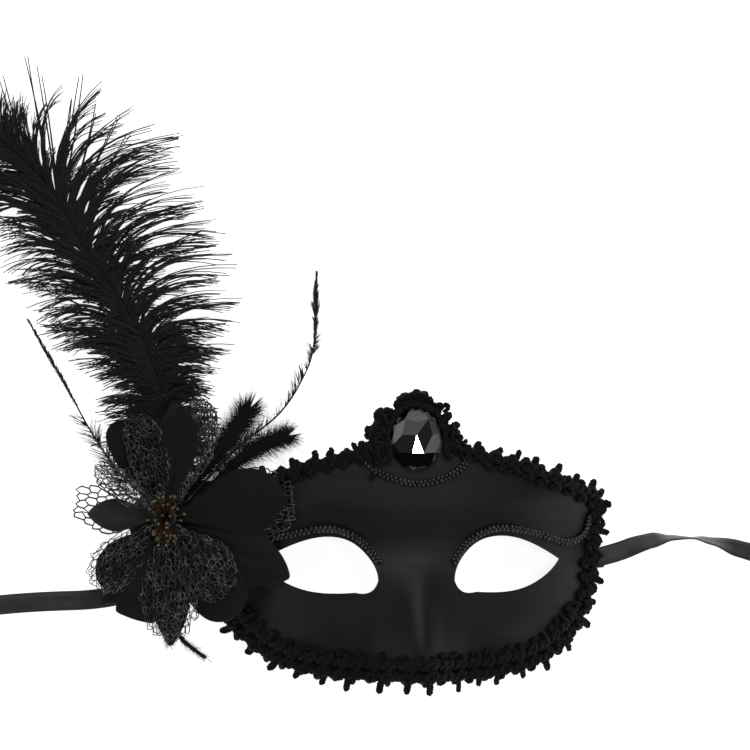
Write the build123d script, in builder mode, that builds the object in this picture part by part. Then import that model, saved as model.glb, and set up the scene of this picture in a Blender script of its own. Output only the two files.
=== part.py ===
from build123d import *
import os
from math import atan2, cos, degrees, exp, hypot, pi, radians, sin, sqrt, tan

# A venetian half mask: a moulded shell edged with gimp braid, a faceted stone on its crest, beaded
# cords over the eyes, and a cloth flower with feathers glued on its left temple. A ribbon tie is
# glued inside each temple.
#
# The mask lies on its back on the plane z = 0. +Z leaves the face, +Y runs to the crest and +X to
# the right of somebody looking at the front. The origin is on that plane, under the bridge of the
# nose and level with the eyes. Lengths are millimetres and angles are degrees.

# ---- shell -------------------------------------------------------------------------------------
WALL = 1.4  # thickness of the moulded shell, square to its surface
SIDE_HALF_WIDTH = 87.6  # from the nose line to the temple edge, at eye level
SIDE_FLARE = 0.09  # how much wider each side gets per millimetre towards the crest
EDGE_HEIGHT = 1.6  # outer surface above the table at the temples
DOME_RISE = 37.5  # from the temple edge to the middle of the forehead
DOME_POWER = 2.6  # above 2: flat in front and steep at the temples
DOME_FALL = 0.0012  # how the dome falls away above and below the eyes, per square millimetre
NOSE_RISE = 17.0
NOSE_TOP = 10.0
NOSE_LENGTH = 54.0
NOSE_HALF_WIDTH = (8.5, 15.0)  # at the bridge and at the tip
# Soft hills and hollows on each side: centre (right of the nose line, up), half sizes, height
EYE_SOCKET = ((25.0, 11.0), (27.0, 11.0), -3.6)
CHEEK = ((44.0, -30.0), (22.0, 13.0), 3.0)
BROW = ((52.0, 30.0), (24.0, 9.0), 2.0)
GRID_STEP = 4.5  # spacing of the points that the moulded surface passes through
MASK_AREA = ((-99, -60), (99, 86))  # covers the shell and its braid

# Half outline of the shell from the point of the crest down to the middle of the lower edge.
CREST_EDGE = ((0, 75.4), (7.5, 74.0), (13.5, 68.6), (19.0, 61.0), (28.0, 53.4))
BROW_EDGE = ((28.0, 53.4), (41, 50.4), (53, 47.0), (63, 43.4), (79, 37.2), (89.0, 33.4))
TEMPLE_EDGE = ((91.2, 29.8), (90.4, 21.0), (88.6, 8.0), (87.4, -3.7), (85.2, -15.0))
CHEEK_EDGE = ((85.2, -15.0), (81.2, -26.0), (72.4, -35.4), (60.0, -42.8), (40.0, -47.8), (0, -49.4))

# Almond eye hole on the right, from its round inner end up and over to its outer point and back.
EYE_TOP = ((17.6, -5.6), (19.0, 0.5), (22.9, 6.4), (29.5, 11.9), (38.8, 14.3), (49.7, 12.8), (70.2, 2.7))
EYE_BOTTOM = ((70.2, 2.7), (66.6, -1.5), (60.2, -6.1), (50.0, -10.2), (38.8, -11.5), (28.0, -11.1))
EYE_CORNER = ((28.0, -11.1), (20.4, -10.2), (17.6, -5.6))

# ---- trims glued on the shell --------------------------------------------------------------------
BRAID_OUT = 2.8  # how far the gimp braid stands out past the shell's edge
BRAID_IN = 6.4  # how far it reaches in over the shell
LOWER_BRAID_IN = 9.4  # the lower braid is laid double, so it reaches further in
BRAID_THICK = 2.6
BRAID_CLEARANCE = 1.7  # the side braid ends this far above the table, over the ribbon
CORD_WIDTH = 2.8
CORD_THICK = 2.2
EYE_CORD_LINE = ((16.6, 2.3), (26.0, 13.3), (40.0, 18.4), (59.5, 14.7), (72.0, 10.6), (81.5, 12.4))
LEFT_EYE_CORD_END = (66.5, 12.6)  # the left cord stops short under the flower
GEM_CORD_LINE = ((-24.5, 50.0), (-16.0, 43.0), (0.5, 38.6), (17.0, 43.0), (25.0, 50.5))
OUTLINE_POINTS = 140
CREST_LOW_Y = 50.0  # the crest's own gathered braid starts here
CREST_HALF_WIDTH = 23.0  # and reaches this far from the nose line
GEM_SIZE = (25.0, 30.0)
GEM_CENTRE_Y = 58.6
GEM_EDGE = 1.6  # the gem's straight side
GEM_HEIGHT = 6.6
GEM_TABLE = 0.58  # flat top facet as a share of the gem's size
GEM_SIDES = 12
GEM_GAP = 0.4  # bare shell between the gem and the braid

# ---- flower ------------------------------------------------------------------------------------
FLOWER_CENTRE = (-111.0, 22.5, 8.0)  # middle of the felt backing's upper face
FLOWER_TILT = 12.0  # the flower's face leans this far from the table's normal, to the left
BACKING_CENTRE = (12.0, -1.5)
BACKING_RADII = (31.0, 19.0)
BACKING_THICK = 1.8
STEM_RADIUS = 4.0
PETAL_THICK = 0.6
PETAL_PITCH = 1.3  # from one layer of petals to the next
PETAL_FIRST = 2.6  # from the backing to the lowest layer, leaving room for the quills
PETAL_LIFT = 10.0  # every petal climbs at this angle as it leaves the stem
PETAL_CLAW = 3.6  # width where a petal meets the stem
PETAL_LAYERS = 6
# name, layer, direction from the stem, length, width
SATIN_PETALS = (
    ("satin_petal_bottom_middle", 0, -87, 58, 18),
    ("satin_petal_upper_left", 1, 117, 50, 17),
    ("satin_petal_lower_outer", 1, 227, 43, 23),
    ("satin_petal_lower_right", 1, -25, 63, 25),
    ("satin_petal_left", 2, 176, 36, 15),
    ("satin_petal_right", 2, 10, 56, 33),
    ("satin_petal_lower_inner", 2, -54, 55, 27),
    ("satin_petal_top", 4, 82, 53, 20),
    ("satin_petal_bottom_left", 4, -107, 48, 20),
)
NET_PETALS = (
    ("net_petal_left", 0, 170, 44, 22),
    ("net_petal_top", 0, 71, 56, 20),
    ("net_petal_right", 0, 8, 60, 35),
    ("net_petal_lower_outer", 3, 223, 44, 22),
    ("net_petal_upper_inner", 3, 105, 48, 18),
    ("net_petal_lower_right", 3, -50, 44, 25),
    ("net_petal_upper_outer", 5, 142, 39, 13),
    ("net_petal_bottom", 5, -86, 54, 25),
)
STAMEN_RADIUS = 0.4
STAMEN_HEAD = 1.1
# rings of stamens on top of the stem: how many, ring radius, length, lean sideways, lean up and down
STAMEN_RINGS = ((1, 0.0, 9.0, 0, 0), (6, 1.6, 11.0, 24, 38), (12, 3.2, 14.0, 36, 62))

# ---- feathers ----------------------------------------------------------------------------------
FEATHER_AREA = ((-230, -60), (-30, 244))  # covers every feather
FEATHER_STEP = 12.0  # the feathers' surface is smoother than the mask's
QUILL_LIFT = 0.82  # middle of the quills above the felt backing
PLUME_ARCH = 8.0  # how much higher the plume's middle stands
PLUME_ROOT_Y = 62.0  # the arch starts here
PLUME_SPAN_Y = 170.0
PLUME_DROOP = 7.0  # how far the plume's tip comes back down
QUILL_WIDTH = 1.6
QUILL_THICK = 1.4
VANE_THICK = 0.8
PLUME_QUILL_LINE = (
    (-112.0, 30.0), (-113.0, 74.0), (-127.0, 111.0), (-150.0, 146.0), (-166.0, 174.0), (-186.0, 193.0),
    (-203.0, 199.0),
)
PLUME_OUTLINE = (
    (-112.0, 66.0), (-94.0, 84.0), (-80.0, 108.0), (-86.0, 152.0), (-108.0, 196.0), (-140.0, 226.0),
    (-178.0, 232.0), (-206.0, 224.0), (-222.0, 198.0), (-206.0, 168.0), (-186.0, 140.0), (-168.0, 110.0),
    (-146.0, 86.0), (-124.0, 70.0),
)
LEFT_SPRAY_LINE = ((-117.0, 28.0), (-133.5, 43.0), (-147.0, 63.0), (-158.5, 84.0), (-176.0, 114.0))
RIGHT_SPRAY_LINE = (
    (-103.5, 29.5), (-82.0, 53.0), (-61.5, 70.5), (-50.5, 87.5), (-45.5, 103.0), (-43.5, 136.0),
)
SPRAY_WIDTH = 1.2
SPRAY_LEVEL = (0.75, 1.75)  # the stripped quills lie over the other feathers' quills
SPRAY_BARB_LEVEL = (0.95, 1.55)
LEFT_SPRAY_BARBS = ((-147.5, 61.0), (-156.0, 87.0), (-177.5, 117.0), (-163.5, 89.0))
RIGHT_SPRAY_BARBS = ((-45.3, 106.0), (-41.4, 113.0), (-40.8, 121.0), (-43.6, 137.5), (-46.0, 120.0))
# name, line of the quill, width of the fluff over the quill's last run
FLUFFS = (
    ("marabou_feather_upper", ((-106.0, 31.5), (-95.5, 43.5), (-86.0, 56.0), (-73.0, 75.5)), 14.0),
    ("marabou_feather_right", ((-101.5, 26.5), (-76.0, 51.5), (-54.0, 62.0)), 12.0),
    ("lower_feather_long", ((-107.0, 12.0), (-109.0, -22.0), (-105.5, -33.0), (-91.5, -44.0)), 4.0),
    ("lower_feather_short", ((-114.0, 12.0), (-115.5, -21.0), (-109.5, -38.5)), 4.0),
)
FLUFF_QUILL_WIDTH = 1.2

# ---- ties --------------------------------------------------------------------------------------
RIBBON_WIDTH = 9.0
RIBBON_THICK = 0.4
TAB_WIDTH = 9.6
TAB_THICK = 0.8
TAB_REACH = 13.0  # how far a tab shows past the temple edge
TAB_INSIDE = 14.0  # how far it is glued up the inside of the temple
TAB_Y = 2.1
TAB_FLOOR = 0.1  # underside of the tab above the table
TAB_OVERLAP = 4.0  # flat part of the tab that runs in under the temple edge
NOTCH_HEIGHT = 1.5  # relief in the temple edge and its braid that the tab and the ribbon pass through
NOTCH_REACH = 12.0  # centred on the temple edge
NOTCH_PLAY = 0.5
RIBBON_LENGTH = 400.0
# The lines that the free ribbons follow, from the tab to the start of the coil.
RIBBON_LEFT_ROUTE = (
    (-90.5, 2.1, 1.15), (-104.0, -0.6, 1.15), (-117.0, -7.2, 0.8), (-131.0, -13.2, 0.6), (-146.0, -15.6, 0.6),
    (-162.0, -15.9, 0.6), (-178.0, -16.6, 0.6), (-194.0, -18.0, 0.6), (-210.0, -18.8, 0.6),
    (-226.0, -18.4, 0.6), (-241.0, -18.6, 0.6),
)
RIBBON_RIGHT_ROUTE = (
    (90.5, 2.1, 1.15), (101.0, 4.5, 1.4), (111.0, 8.7, 3.4), (122.0, 11.6, 4.6), (134.0, 12.0, 4.6),
    (146.0, 9.9, 3.4), (157.5, 6.5, 1.4), (171.0, 2.9, 0.6), (186.0, 0.4, 0.6), (202.0, -0.6, 0.6),
    (218.5, -0.9, 0.6),
)
CORNER_SHARE = 0.45  # of the shorter run, taken by each rounded corner
COIL_RADIUS = 48.0  # the spare length lies in one round turn, standing on its edge
COIL_WALL = 0.8

TALL = 90.0  # taller than anything here, for cutting plan shapes out of a surface
BELOW = 30.0


# ---- moulded surfaces --------------------------------------------------------------------------
def bump(x, y, centre, size):
    """A round hill of height 1, with the given half widths."""
    return exp(-(((x - centre[0]) / size[0]) ** 2) - ((y - centre[1]) / size[1]) ** 2)


def smooth(t):
    """0 below 0, 1 above 1 and a soft step between."""
    t = min(max(t, 0.0), 1.0)
    return t * t * (3 - 2 * t)


def mask_height(x, y):
    """Outer surface of the mask above the table."""
    half_width = SIDE_HALF_WIDTH + SIDE_FLARE * y
    across = 1 - abs(x / half_width) ** DOME_POWER
    height = EDGE_HEIGHT + (DOME_RISE - DOME_FALL * (y - 5) ** 2) * across
    down_nose = smooth((NOSE_TOP - y) / NOSE_LENGTH)
    nose_width = NOSE_HALF_WIDTH[0] + (NOSE_HALF_WIDTH[1] - NOSE_HALF_WIDTH[0]) * down_nose
    height += NOSE_RISE * down_nose * exp(-((x / nose_width) ** 2))
    for centre, size, rise in (EYE_SOCKET, CHEEK, BROW):
        height += rise * (bump(x, y, centre, size) + bump(-x, y, centre, size))
    return height


def plume_height(x, y):
    """Middle of the feathers: they leave the tilted backing, arch and come down at the tip."""
    along = (y - PLUME_ROOT_Y) / PLUME_SPAN_Y
    arch = PLUME_ARCH * sin(radians(180 * min(max(along, 0.0), 1.0))) - PLUME_DROOP * smooth(along)
    flat = smooth((abs(y - FLOWER_CENTRE[1]) - 40) / 100)  # away from the flower the lean dies out
    lean = tan(radians(FLOWER_TILT)) * (x - FLOWER_CENTRE[0]) * (1 - flat)
    return FLOWER_CENTRE[2] + QUILL_LIFT + arch + lean


def offset_height(height, distance):
    """The same surface moved out by a distance square to itself."""

    def moved(x, y):
        slope_x = height(x + 0.5, y) - height(x - 0.5, y)
        slope_y = height(x, y + 0.5) - height(x, y - 0.5)
        return height(x, y) + distance * sqrt(1 + slope_x**2 + slope_y**2)

    return moved


def solid_below(height, low, high, step=GRID_STEP):
    """Everything under a height surface, over the rectangle from low to high."""
    columns = round((high[0] - low[0]) / step)
    rows = round((high[1] - low[1]) / step)
    points = []
    for i in range(columns + 1):
        x = low[0] + (high[0] - low[0]) * i / columns
        ys = [low[1] + (high[1] - low[1]) * j / rows for j in range(rows + 1)]
        points.append([Vector(x, y, height(x, y)) for y in ys])
    surface = Face.make_surface_from_array_of_points(points, tol=0.02)
    return extrude(surface, amount=TALL + BELOW, dir=(0, 0, -1))


def mirrored(points):
    """The same points on the other side of the nose line."""
    return [(-x, y) for x, y in points]


under_mask = solid_below(mask_height, *MASK_AREA)
under_wall = solid_below(offset_height(mask_height, -WALL), *MASK_AREA)
under_tab = solid_below(offset_height(mask_height, -WALL - TAB_THICK), *MASK_AREA)
under_braid = solid_below(offset_height(mask_height, BRAID_THICK), *MASK_AREA)
under_cord = solid_below(offset_height(mask_height, CORD_THICK), *MASK_AREA)


def feather_layer(low_offset, high_offset):
    """A thin layer of the feathers' surface, measured from the middle of the quills."""
    above = solid_below(offset_height(plume_height, high_offset), *FEATHER_AREA, FEATHER_STEP)
    return above - solid_below(offset_height(plume_height, low_offset), *FEATHER_AREA, FEATHER_STEP)


# ---- plan shapes -------------------------------------------------------------------------------
with BuildSketch() as outline:
    with BuildLine():
        for side in (1, -1):
            crest = [(side * x, y) for x, y in CREST_EDGE]
            brow = [(side * x, y) for x, y in BROW_EDGE]
            temple = [(side * x, y) for x, y in TEMPLE_EDGE]
            cheek = [(side * x, y) for x, y in CHEEK_EDGE]
            Spline(crest, tangents=[(side, 0), (side, -0.42)], tangent_scalars=[1, 0.6])
            Spline(brow)
            Spline([brow[-1], temple[0]], tangents=[(side, -0.35), (-0.05 * side, -1)])
            Spline(temple + cheek[1:], tangents=[(-0.05 * side, -1), (-side, 0)])
    make_face()

with BuildSketch() as eye_holes:
    with BuildLine():
        Spline(EYE_TOP)
        Spline(EYE_BOTTOM)
        Spline(EYE_CORNER)
    make_face()
    mirror(about=Plane.YZ)


def moved_outline(distance):
    """The outline moved out by distance, as one smooth curve through points of the exact offset."""
    with BuildSketch() as exact:
        offset(outline.sketch, amount=distance)
    edge = exact.wire()
    with BuildSketch() as moved:
        with BuildLine():
            Spline([edge @ (k / OUTLINE_POINTS) for k in range(OUTLINE_POINTS)], periodic=True)
        make_face()
    return moved.sketch


braid_outside = moved_outline(BRAID_OUT)
with BuildSketch() as braid_band:
    add(braid_outside)
    add(moved_outline(-BRAID_IN), mode=Mode.SUBTRACT)
with BuildSketch() as lower_braid_band:
    add(braid_outside)
    add(moved_outline(-LOWER_BRAID_IN), mode=Mode.SUBTRACT)

gem_slope = mask_height(0, GEM_CENTRE_Y + 1) - mask_height(0, GEM_CENTRE_Y - 1)
gem_plane = Plane(
    origin=(0, GEM_CENTRE_Y, mask_height(0, GEM_CENTRE_Y)), x_dir=(1, 0, 0), z_dir=(0, -gem_slope / 2, 1)
)


def gem_outline(share):
    """The stone's many-sided oval, scaled by share."""
    turns = [2 * pi * (k + 0.5) / GEM_SIDES for k in range(GEM_SIDES)]
    Polygon([(share * GEM_SIZE[0] / 2 * cos(a), share * GEM_SIZE[1] / 2 * sin(a)) for a in turns], align=None)


# ---- shell -------------------------------------------------------------------------------------
with BuildSketch() as notches:
    with Locations((-SIDE_HALF_WIDTH, TAB_Y), (SIDE_HALF_WIDTH, TAB_Y)):
        Rectangle(NOTCH_REACH, TAB_WIDTH + 2 * NOTCH_PLAY)

with BuildPart() as mask_shell:
    add(outline.sketch)
    extrude(amount=TALL)
    add(under_mask, mode=Mode.INTERSECT)
    add(under_wall, mode=Mode.SUBTRACT)
    add(eye_holes.sketch)
    extrude(amount=TALL, mode=Mode.SUBTRACT)
    add(notches.sketch)
    extrude(amount=NOTCH_HEIGHT, mode=Mode.SUBTRACT)
mask_shell.part.label = "mask_shell"

# ---- gimp braid around the edge ------------------------------------------------------------------
# name, band that it fills, lowest and highest corner of the part of the edge that this length covers
BRAID_LENGTHS = (
    ("edge_braid_upper_left", braid_band, (-99, 33), (-CREST_HALF_WIDTH, 80)),
    ("edge_braid_upper_right", braid_band, (CREST_HALF_WIDTH, 33), (99, 80)),
    ("edge_braid_left_side", braid_band, (-99, -22), (-50, 33)),
    ("edge_braid_right_side", braid_band, (50, -22), (99, 33)),
    ("edge_braid_lower", lower_braid_band, (-99, -60), (99, -22)),
)


def braid_length(name, band, low, high):
    """One length of edge braid, glued over the shell and standing out past its edge."""
    with BuildPart(Plane.XY.offset(BRAID_CLEARANCE)) as braid:
        with BuildSketch():
            with Locations(((low[0] + high[0]) / 2, (low[1] + high[1]) / 2)):
                Rectangle(high[0] - low[0], high[1] - low[1])
            add(band.sketch, mode=Mode.INTERSECT)
        extrude(amount=TALL)
        add(under_braid, mode=Mode.INTERSECT)
        add(under_mask, mode=Mode.SUBTRACT)
        add(notches.sketch)
        extrude(amount=NOTCH_HEIGHT, mode=Mode.SUBTRACT)
    braid.part.label = name
    return braid.part


braids = [braid_length(*entry) for entry in BRAID_LENGTHS]

with BuildSketch() as crest_zone:
    add(braid_outside)
    with Locations((0, CREST_LOW_Y)):
        Rectangle(2 * CREST_HALF_WIDTH, TALL, align=(Align.CENTER, Align.MIN), mode=Mode.INTERSECT)
    with Locations((0, GEM_CENTRE_Y)):
        Ellipse(GEM_SIZE[0] / 2 + GEM_GAP, GEM_SIZE[1] / 2 + GEM_GAP, mode=Mode.SUBTRACT)

with BuildPart() as crest_braid:
    add(crest_zone.sketch)
    extrude(amount=TALL)
    add(under_braid, mode=Mode.INTERSECT)
    add(under_mask, mode=Mode.SUBTRACT)
crest_braid.part.label = "crest_braid"

# ---- stone and beaded cords ----------------------------------------------------------------------
with BuildPart() as gem:
    with BuildSketch(gem_plane.offset(-GEM_GAP)):
        gem_outline(1)
    extrude(amount=GEM_GAP + GEM_EDGE)
    with BuildSketch(gem_plane.offset(GEM_EDGE)):
        gem_outline(1)
    with BuildSketch(gem_plane.offset(GEM_HEIGHT)):
        gem_outline(GEM_TABLE)
    loft(ruled=True)
    add(under_mask, mode=Mode.SUBTRACT)
gem.part.label = "gem"


def beaded_cord(name, points):
    """A beaded cord glued on the shell along a smooth line, ending at the braid."""
    with BuildPart() as cord:
        with BuildSketch():
            with BuildLine():
                Spline(points)
            trace(line_width=CORD_WIDTH)
            add(braid_band.sketch, mode=Mode.SUBTRACT)
            add(crest_zone.sketch, mode=Mode.SUBTRACT)
        extrude(amount=TALL)
        add(under_cord, mode=Mode.INTERSECT)
        add(under_mask, mode=Mode.SUBTRACT)
    cord.part.label = name
    return cord.part


cords = [
    beaded_cord("gem_cord", GEM_CORD_LINE),
    beaded_cord("eye_cord_right", EYE_CORD_LINE),
    beaded_cord("eye_cord_left", mirrored(EYE_CORD_LINE[:-2] + (LEFT_EYE_CORD_END,))),
]

# ---- flower ------------------------------------------------------------------------------------
flower_side = (cos(radians(FLOWER_TILT)), 0, sin(radians(FLOWER_TILT)))
flower_face = (-sin(radians(FLOWER_TILT)), 0, cos(radians(FLOWER_TILT)))
flower_plane = Plane(origin=FLOWER_CENTRE, x_dir=flower_side, z_dir=flower_face)
flower_section = Plane(origin=FLOWER_CENTRE, x_dir=flower_side, z_dir=(0, -1, 0))
flower_axis = Axis(FLOWER_CENTRE, flower_face)
STEM_HEIGHT = PETAL_FIRST + PETAL_LAYERS * PETAL_PITCH + PETAL_THICK

with BuildPart() as flower_backing:
    with BuildSketch(flower_plane.offset(-BACKING_THICK)):
        with Locations(BACKING_CENTRE):
            Ellipse(*BACKING_RADII)
    extrude(amount=BACKING_THICK)
    add(under_mask, mode=Mode.SUBTRACT)
    for braid in braids:
        add(braid, mode=Mode.SUBTRACT)
flower_backing.part.label = "flower_backing"

with BuildPart() as flower_stem:
    with BuildSketch(flower_plane):
        Circle(STEM_RADIUS)
    extrude(amount=STEM_HEIGHT)
flower_stem.part.label = "flower_stem"


def petal_point(angle, along, across):
    """A point of a petal, measured along and across the line that leaves the stem at angle."""
    turn = radians(angle)
    return (along * cos(turn) - across * sin(turn), along * sin(turn) + across * cos(turn))


def petal(name, petal_layer, angle, length, width):
    """One petal, narrow at the stem and broad towards its round tip, on its layer of the flower."""
    base = PETAL_FIRST + petal_layer * PETAL_PITCH
    rise = tan(radians(PETAL_LIFT))
    reach = length + 5
    root = 0.7 * STEM_RADIUS
    half = ((root, PETAL_CLAW / 2), (0.35 * length, 0.33 * width), (0.68 * length, 0.5 * width))
    shoulder = (0.9 * length, 0.36 * width)
    upper = [petal_point(angle, *p) for p in half + (shoulder,)]
    lower = [petal_point(angle, p[0], -p[1]) for p in half + (shoulder,)]
    with BuildPart() as piece:
        with BuildSketch(flower_plane):
            with BuildLine():
                Spline(upper + [petal_point(angle, length, 0)] + lower[::-1])
                Line(lower[0], upper[0])
            make_face()
            Circle(STEM_RADIUS, mode=Mode.SUBTRACT)
        extrude(amount=TALL / 2)
        with BuildSketch(flower_section):
            Polygon(
                [
                    (0, base),
                    (reach, base + rise * reach),
                    (reach, base + rise * reach + PETAL_THICK),
                    (0, base + PETAL_THICK),
                ],
                align=None,
            )
        revolve(axis=flower_axis, mode=Mode.INTERSECT)
    piece.part.label = name
    return piece.part


petals = [petal(*entry) for entry in SATIN_PETALS + NET_PETALS]


def stamen_lines():
    """Foot and head of each stamen, in the flower's own plane, spreading up and down the flower."""
    for count, ring, length, lean_side, lean_up in STAMEN_RINGS:
        for k in range(count):
            turn = 2 * pi * (k + 0.5) / count
            lean = radians(hypot(lean_side * cos(turn), lean_up * sin(turn)))
            foot = (ring * cos(turn), ring * sin(turn), STEM_HEIGHT)
            out = length * sin(lean)
            up = STEM_HEIGHT + length * cos(lean)
            yield foot, (foot[0] + out * cos(turn), foot[1] + out * sin(turn), up)


with BuildPart() as stamens:
    for foot, head in stamen_lines():
        start = flower_plane.from_local_coords(Vector(foot))
        end = flower_plane.from_local_coords(Vector(head))
        rod = (end - start).normalized()
        square = rod.cross(Vector(0.3, 1, 0.1)).normalized()
        length = (end - start).length
        with BuildSketch(Plane(origin=start, x_dir=square, z_dir=square.cross(rod))):
            with BuildLine():
                Polyline(
                    (0, 0),
                    (STAMEN_RADIUS, 0),
                    (STAMEN_RADIUS, length - STAMEN_HEAD),
                    (STAMEN_HEAD, length - 0.3 * STAMEN_HEAD),
                    (STAMEN_HEAD, length + 0.3 * STAMEN_HEAD),
                    (0, length + STAMEN_HEAD),
                    close=True,
                )
            make_face()
        revolve(axis=Axis(start, rod))
stamens.part.label = "stamens"

# ---- feathers ----------------------------------------------------------------------------------
quill_layer = feather_layer(-QUILL_THICK / 2, QUILL_THICK / 2)
vane_layer = feather_layer(-VANE_THICK / 2, VANE_THICK / 2)
spray_layer = feather_layer(*SPRAY_LEVEL)
spray_barb_layer = feather_layer(*SPRAY_BARB_LEVEL)


def quill(name, points, width, level):
    """A quill along a smooth line."""
    with BuildPart() as piece:
        with BuildSketch():
            with BuildLine():
                Spline(points)
            trace(line_width=width)
        extrude(amount=TALL)
        add(level, mode=Mode.INTERSECT)
    piece.part.label = name
    return piece.part


def fluff(name, points, width):
    """A short downy feather: a thin quill whose last run carries the down."""
    with BuildPart() as piece:
        with BuildSketch():
            with BuildLine():
                Spline(points)
            trace(line_width=FLUFF_QUILL_WIDTH)
            with BuildLine():
                Line(points[-2], points[-1])
            trace(line_width=width)
        extrude(amount=TALL)
        add(quill_layer, mode=Mode.INTERSECT)
    piece.part.label = name
    return piece.part


def vane(name, points, its_quill, level):
    """The barbs of a feather as one thin leaf around its quill."""
    with BuildPart() as piece:
        with BuildSketch():
            with BuildLine():
                Spline(points, periodic=True)
            make_face()
        extrude(amount=TALL)
        add(level, mode=Mode.INTERSECT)
        add(its_quill, mode=Mode.SUBTRACT)
    piece.part.label = name
    return piece.part


plume_quill = quill("plume_quill", PLUME_QUILL_LINE, QUILL_WIDTH, quill_layer)
left_spray_quill = quill("left_spray_quill", LEFT_SPRAY_LINE, SPRAY_WIDTH, spray_layer)
right_spray_quill = quill("right_spray_quill", RIGHT_SPRAY_LINE, SPRAY_WIDTH, spray_layer)
feathers = [
    plume_quill,
    vane("plume_vane", PLUME_OUTLINE, plume_quill, vane_layer),
    left_spray_quill,
    vane("left_spray_barbs", LEFT_SPRAY_BARBS, left_spray_quill, spray_barb_layer),
    right_spray_quill,
    vane("right_spray_barbs", RIGHT_SPRAY_BARBS, right_spray_quill, spray_barb_layer),
]
feathers += [fluff(*entry) for entry in FLUFFS]

# ---- ribbon ties -------------------------------------------------------------------------------
def ribbon_tab(name, side):
    """A stiff tab glued up the inside of a temple, showing flat beside it."""
    with BuildPart() as tab:
        with BuildSketch():
            with Locations((side * (SIDE_HALF_WIDTH - TAB_INSIDE / 2), TAB_Y)):
                Rectangle(TAB_INSIDE, TAB_WIDTH)
        extrude(amount=TALL)
        add(under_wall, mode=Mode.INTERSECT)
        add(under_tab, mode=Mode.SUBTRACT)
        with BuildSketch(Plane.XY.offset(TAB_FLOOR)):
            with Locations((side * (SIDE_HALF_WIDTH + (TAB_REACH - TAB_OVERLAP) / 2), TAB_Y)):
                Rectangle(TAB_REACH + TAB_OVERLAP, TAB_WIDTH)
        extrude(amount=TAB_THICK)
    tab.part.label = name
    return tab.part


def corner_radii(route):
    """The largest radius at each corner of a route that leaves room for its neighbours."""
    points = [Vector(p) for p in route]
    radii = []
    for before, corner, after in zip(points, points[1:], points[2:]):
        turn = (corner - before).get_angle(after - corner)
        shorter = min((corner - before).length, (after - corner).length)
        radii.append(CORNER_SHARE * shorter / tan(radians(turn / 2)))
    return radii


def ribbon(side_name, route, coil_side):
    """The free ribbon of one temple and its coil, which lies to the coil_side of its last run."""
    radii = corner_radii(route)
    print(f"ribbon_{side_name} radii", [round(r) for r in radii])
    with BuildPart() as strip:
        with BuildLine() as path:
            FilletPolyline(*route, radius=radii)
        line = path.wire()
        start = line % 0
        across = Vector(0, 0, 1).cross(start)
        with BuildSketch(Plane(origin=line @ 0, x_dir=across, z_dir=start)):
            Rectangle(RIBBON_WIDTH, RIBBON_THICK)
        sweep(path=line)
    strip.part.label = f"ribbon_{side_name}"
    length = line.length
    filled = strip.part.volume / (RIBBON_WIDTH * RIBBON_THICK * length)
    print(f"ribbon_{side_name} volume over section times length {filled:.3f}")
    end = line @ 1
    last_run = line % 1
    heading = degrees(atan2(last_run.Y, last_run.X))
    centre = end + Vector(COIL_RADIUS, 0, 0).rotate(Axis.Z, heading + 90 * coil_side)
    turn = degrees((RIBBON_LENGTH - length) / COIL_RADIUS)
    print(f"ribbon_{side_name} length", length, "coil turn", turn, "centre", centre)
    with BuildPart() as coil:
        with BuildSketch():
            with BuildLine():
                CenterArc((centre.X, centre.Y), COIL_RADIUS, heading - 90 * coil_side, coil_side * turn)
            trace(line_width=COIL_WALL)
        extrude(amount=RIBBON_WIDTH)
    coil.part.label = f"ribbon_{side_name}_coil"
    return [strip.part, coil.part]


ties = [ribbon_tab("ribbon_tab_left", -1), ribbon_tab("ribbon_tab_right", 1)]
ties += ribbon("left", RIBBON_LEFT_ROUTE, 1)
ties += ribbon("right", RIBBON_RIGHT_ROUTE, -1)

# ---- files -------------------------------------------------------------------------------------
pieces = [mask_shell.part, crest_braid.part, gem.part, flower_backing.part, flower_stem.part, stamens.part]
pieces += braids + cords + petals + feathers + ties
os.makedirs("parts", exist_ok=True)
for piece in pieces:
    export_step(piece, f"parts/{piece.label}.step")
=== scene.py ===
import math
import random

import bmesh
import bpy
from mathutils import Matrix, Vector
from mathutils.bvhtree import BVHTree


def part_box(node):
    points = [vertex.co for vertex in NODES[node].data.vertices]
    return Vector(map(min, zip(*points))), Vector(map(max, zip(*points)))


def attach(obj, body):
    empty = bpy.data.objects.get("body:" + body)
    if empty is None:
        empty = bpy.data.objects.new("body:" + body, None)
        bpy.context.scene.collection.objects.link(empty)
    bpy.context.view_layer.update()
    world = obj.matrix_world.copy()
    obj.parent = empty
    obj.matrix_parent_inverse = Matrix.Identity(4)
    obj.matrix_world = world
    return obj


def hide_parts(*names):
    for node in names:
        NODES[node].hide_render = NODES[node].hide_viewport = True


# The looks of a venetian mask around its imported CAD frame. Everything below is worked out in
# millimetres in the frame's own axes (+Z leaves the face, +Y runs to the crest) and turned into
# metres when a piece is made.

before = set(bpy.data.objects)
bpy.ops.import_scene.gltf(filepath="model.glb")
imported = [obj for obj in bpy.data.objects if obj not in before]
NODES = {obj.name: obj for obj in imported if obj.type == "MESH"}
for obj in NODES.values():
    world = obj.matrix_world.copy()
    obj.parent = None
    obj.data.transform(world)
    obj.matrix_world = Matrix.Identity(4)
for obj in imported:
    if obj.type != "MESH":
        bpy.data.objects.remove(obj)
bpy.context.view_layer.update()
MM = 0.001
UP = Vector((0, 0, 1))


# ---- reading the frame --------------------------------------------------------------------------
def corners(node):
    """Lowest and highest corner of a CAD node, in millimetres."""
    low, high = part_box(node)
    return low / MM, high / MM


def node_points(node):
    """The vertices of a CAD node, in millimetres."""
    return [v.co / MM for v in NODES[node].data.vertices]


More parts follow.
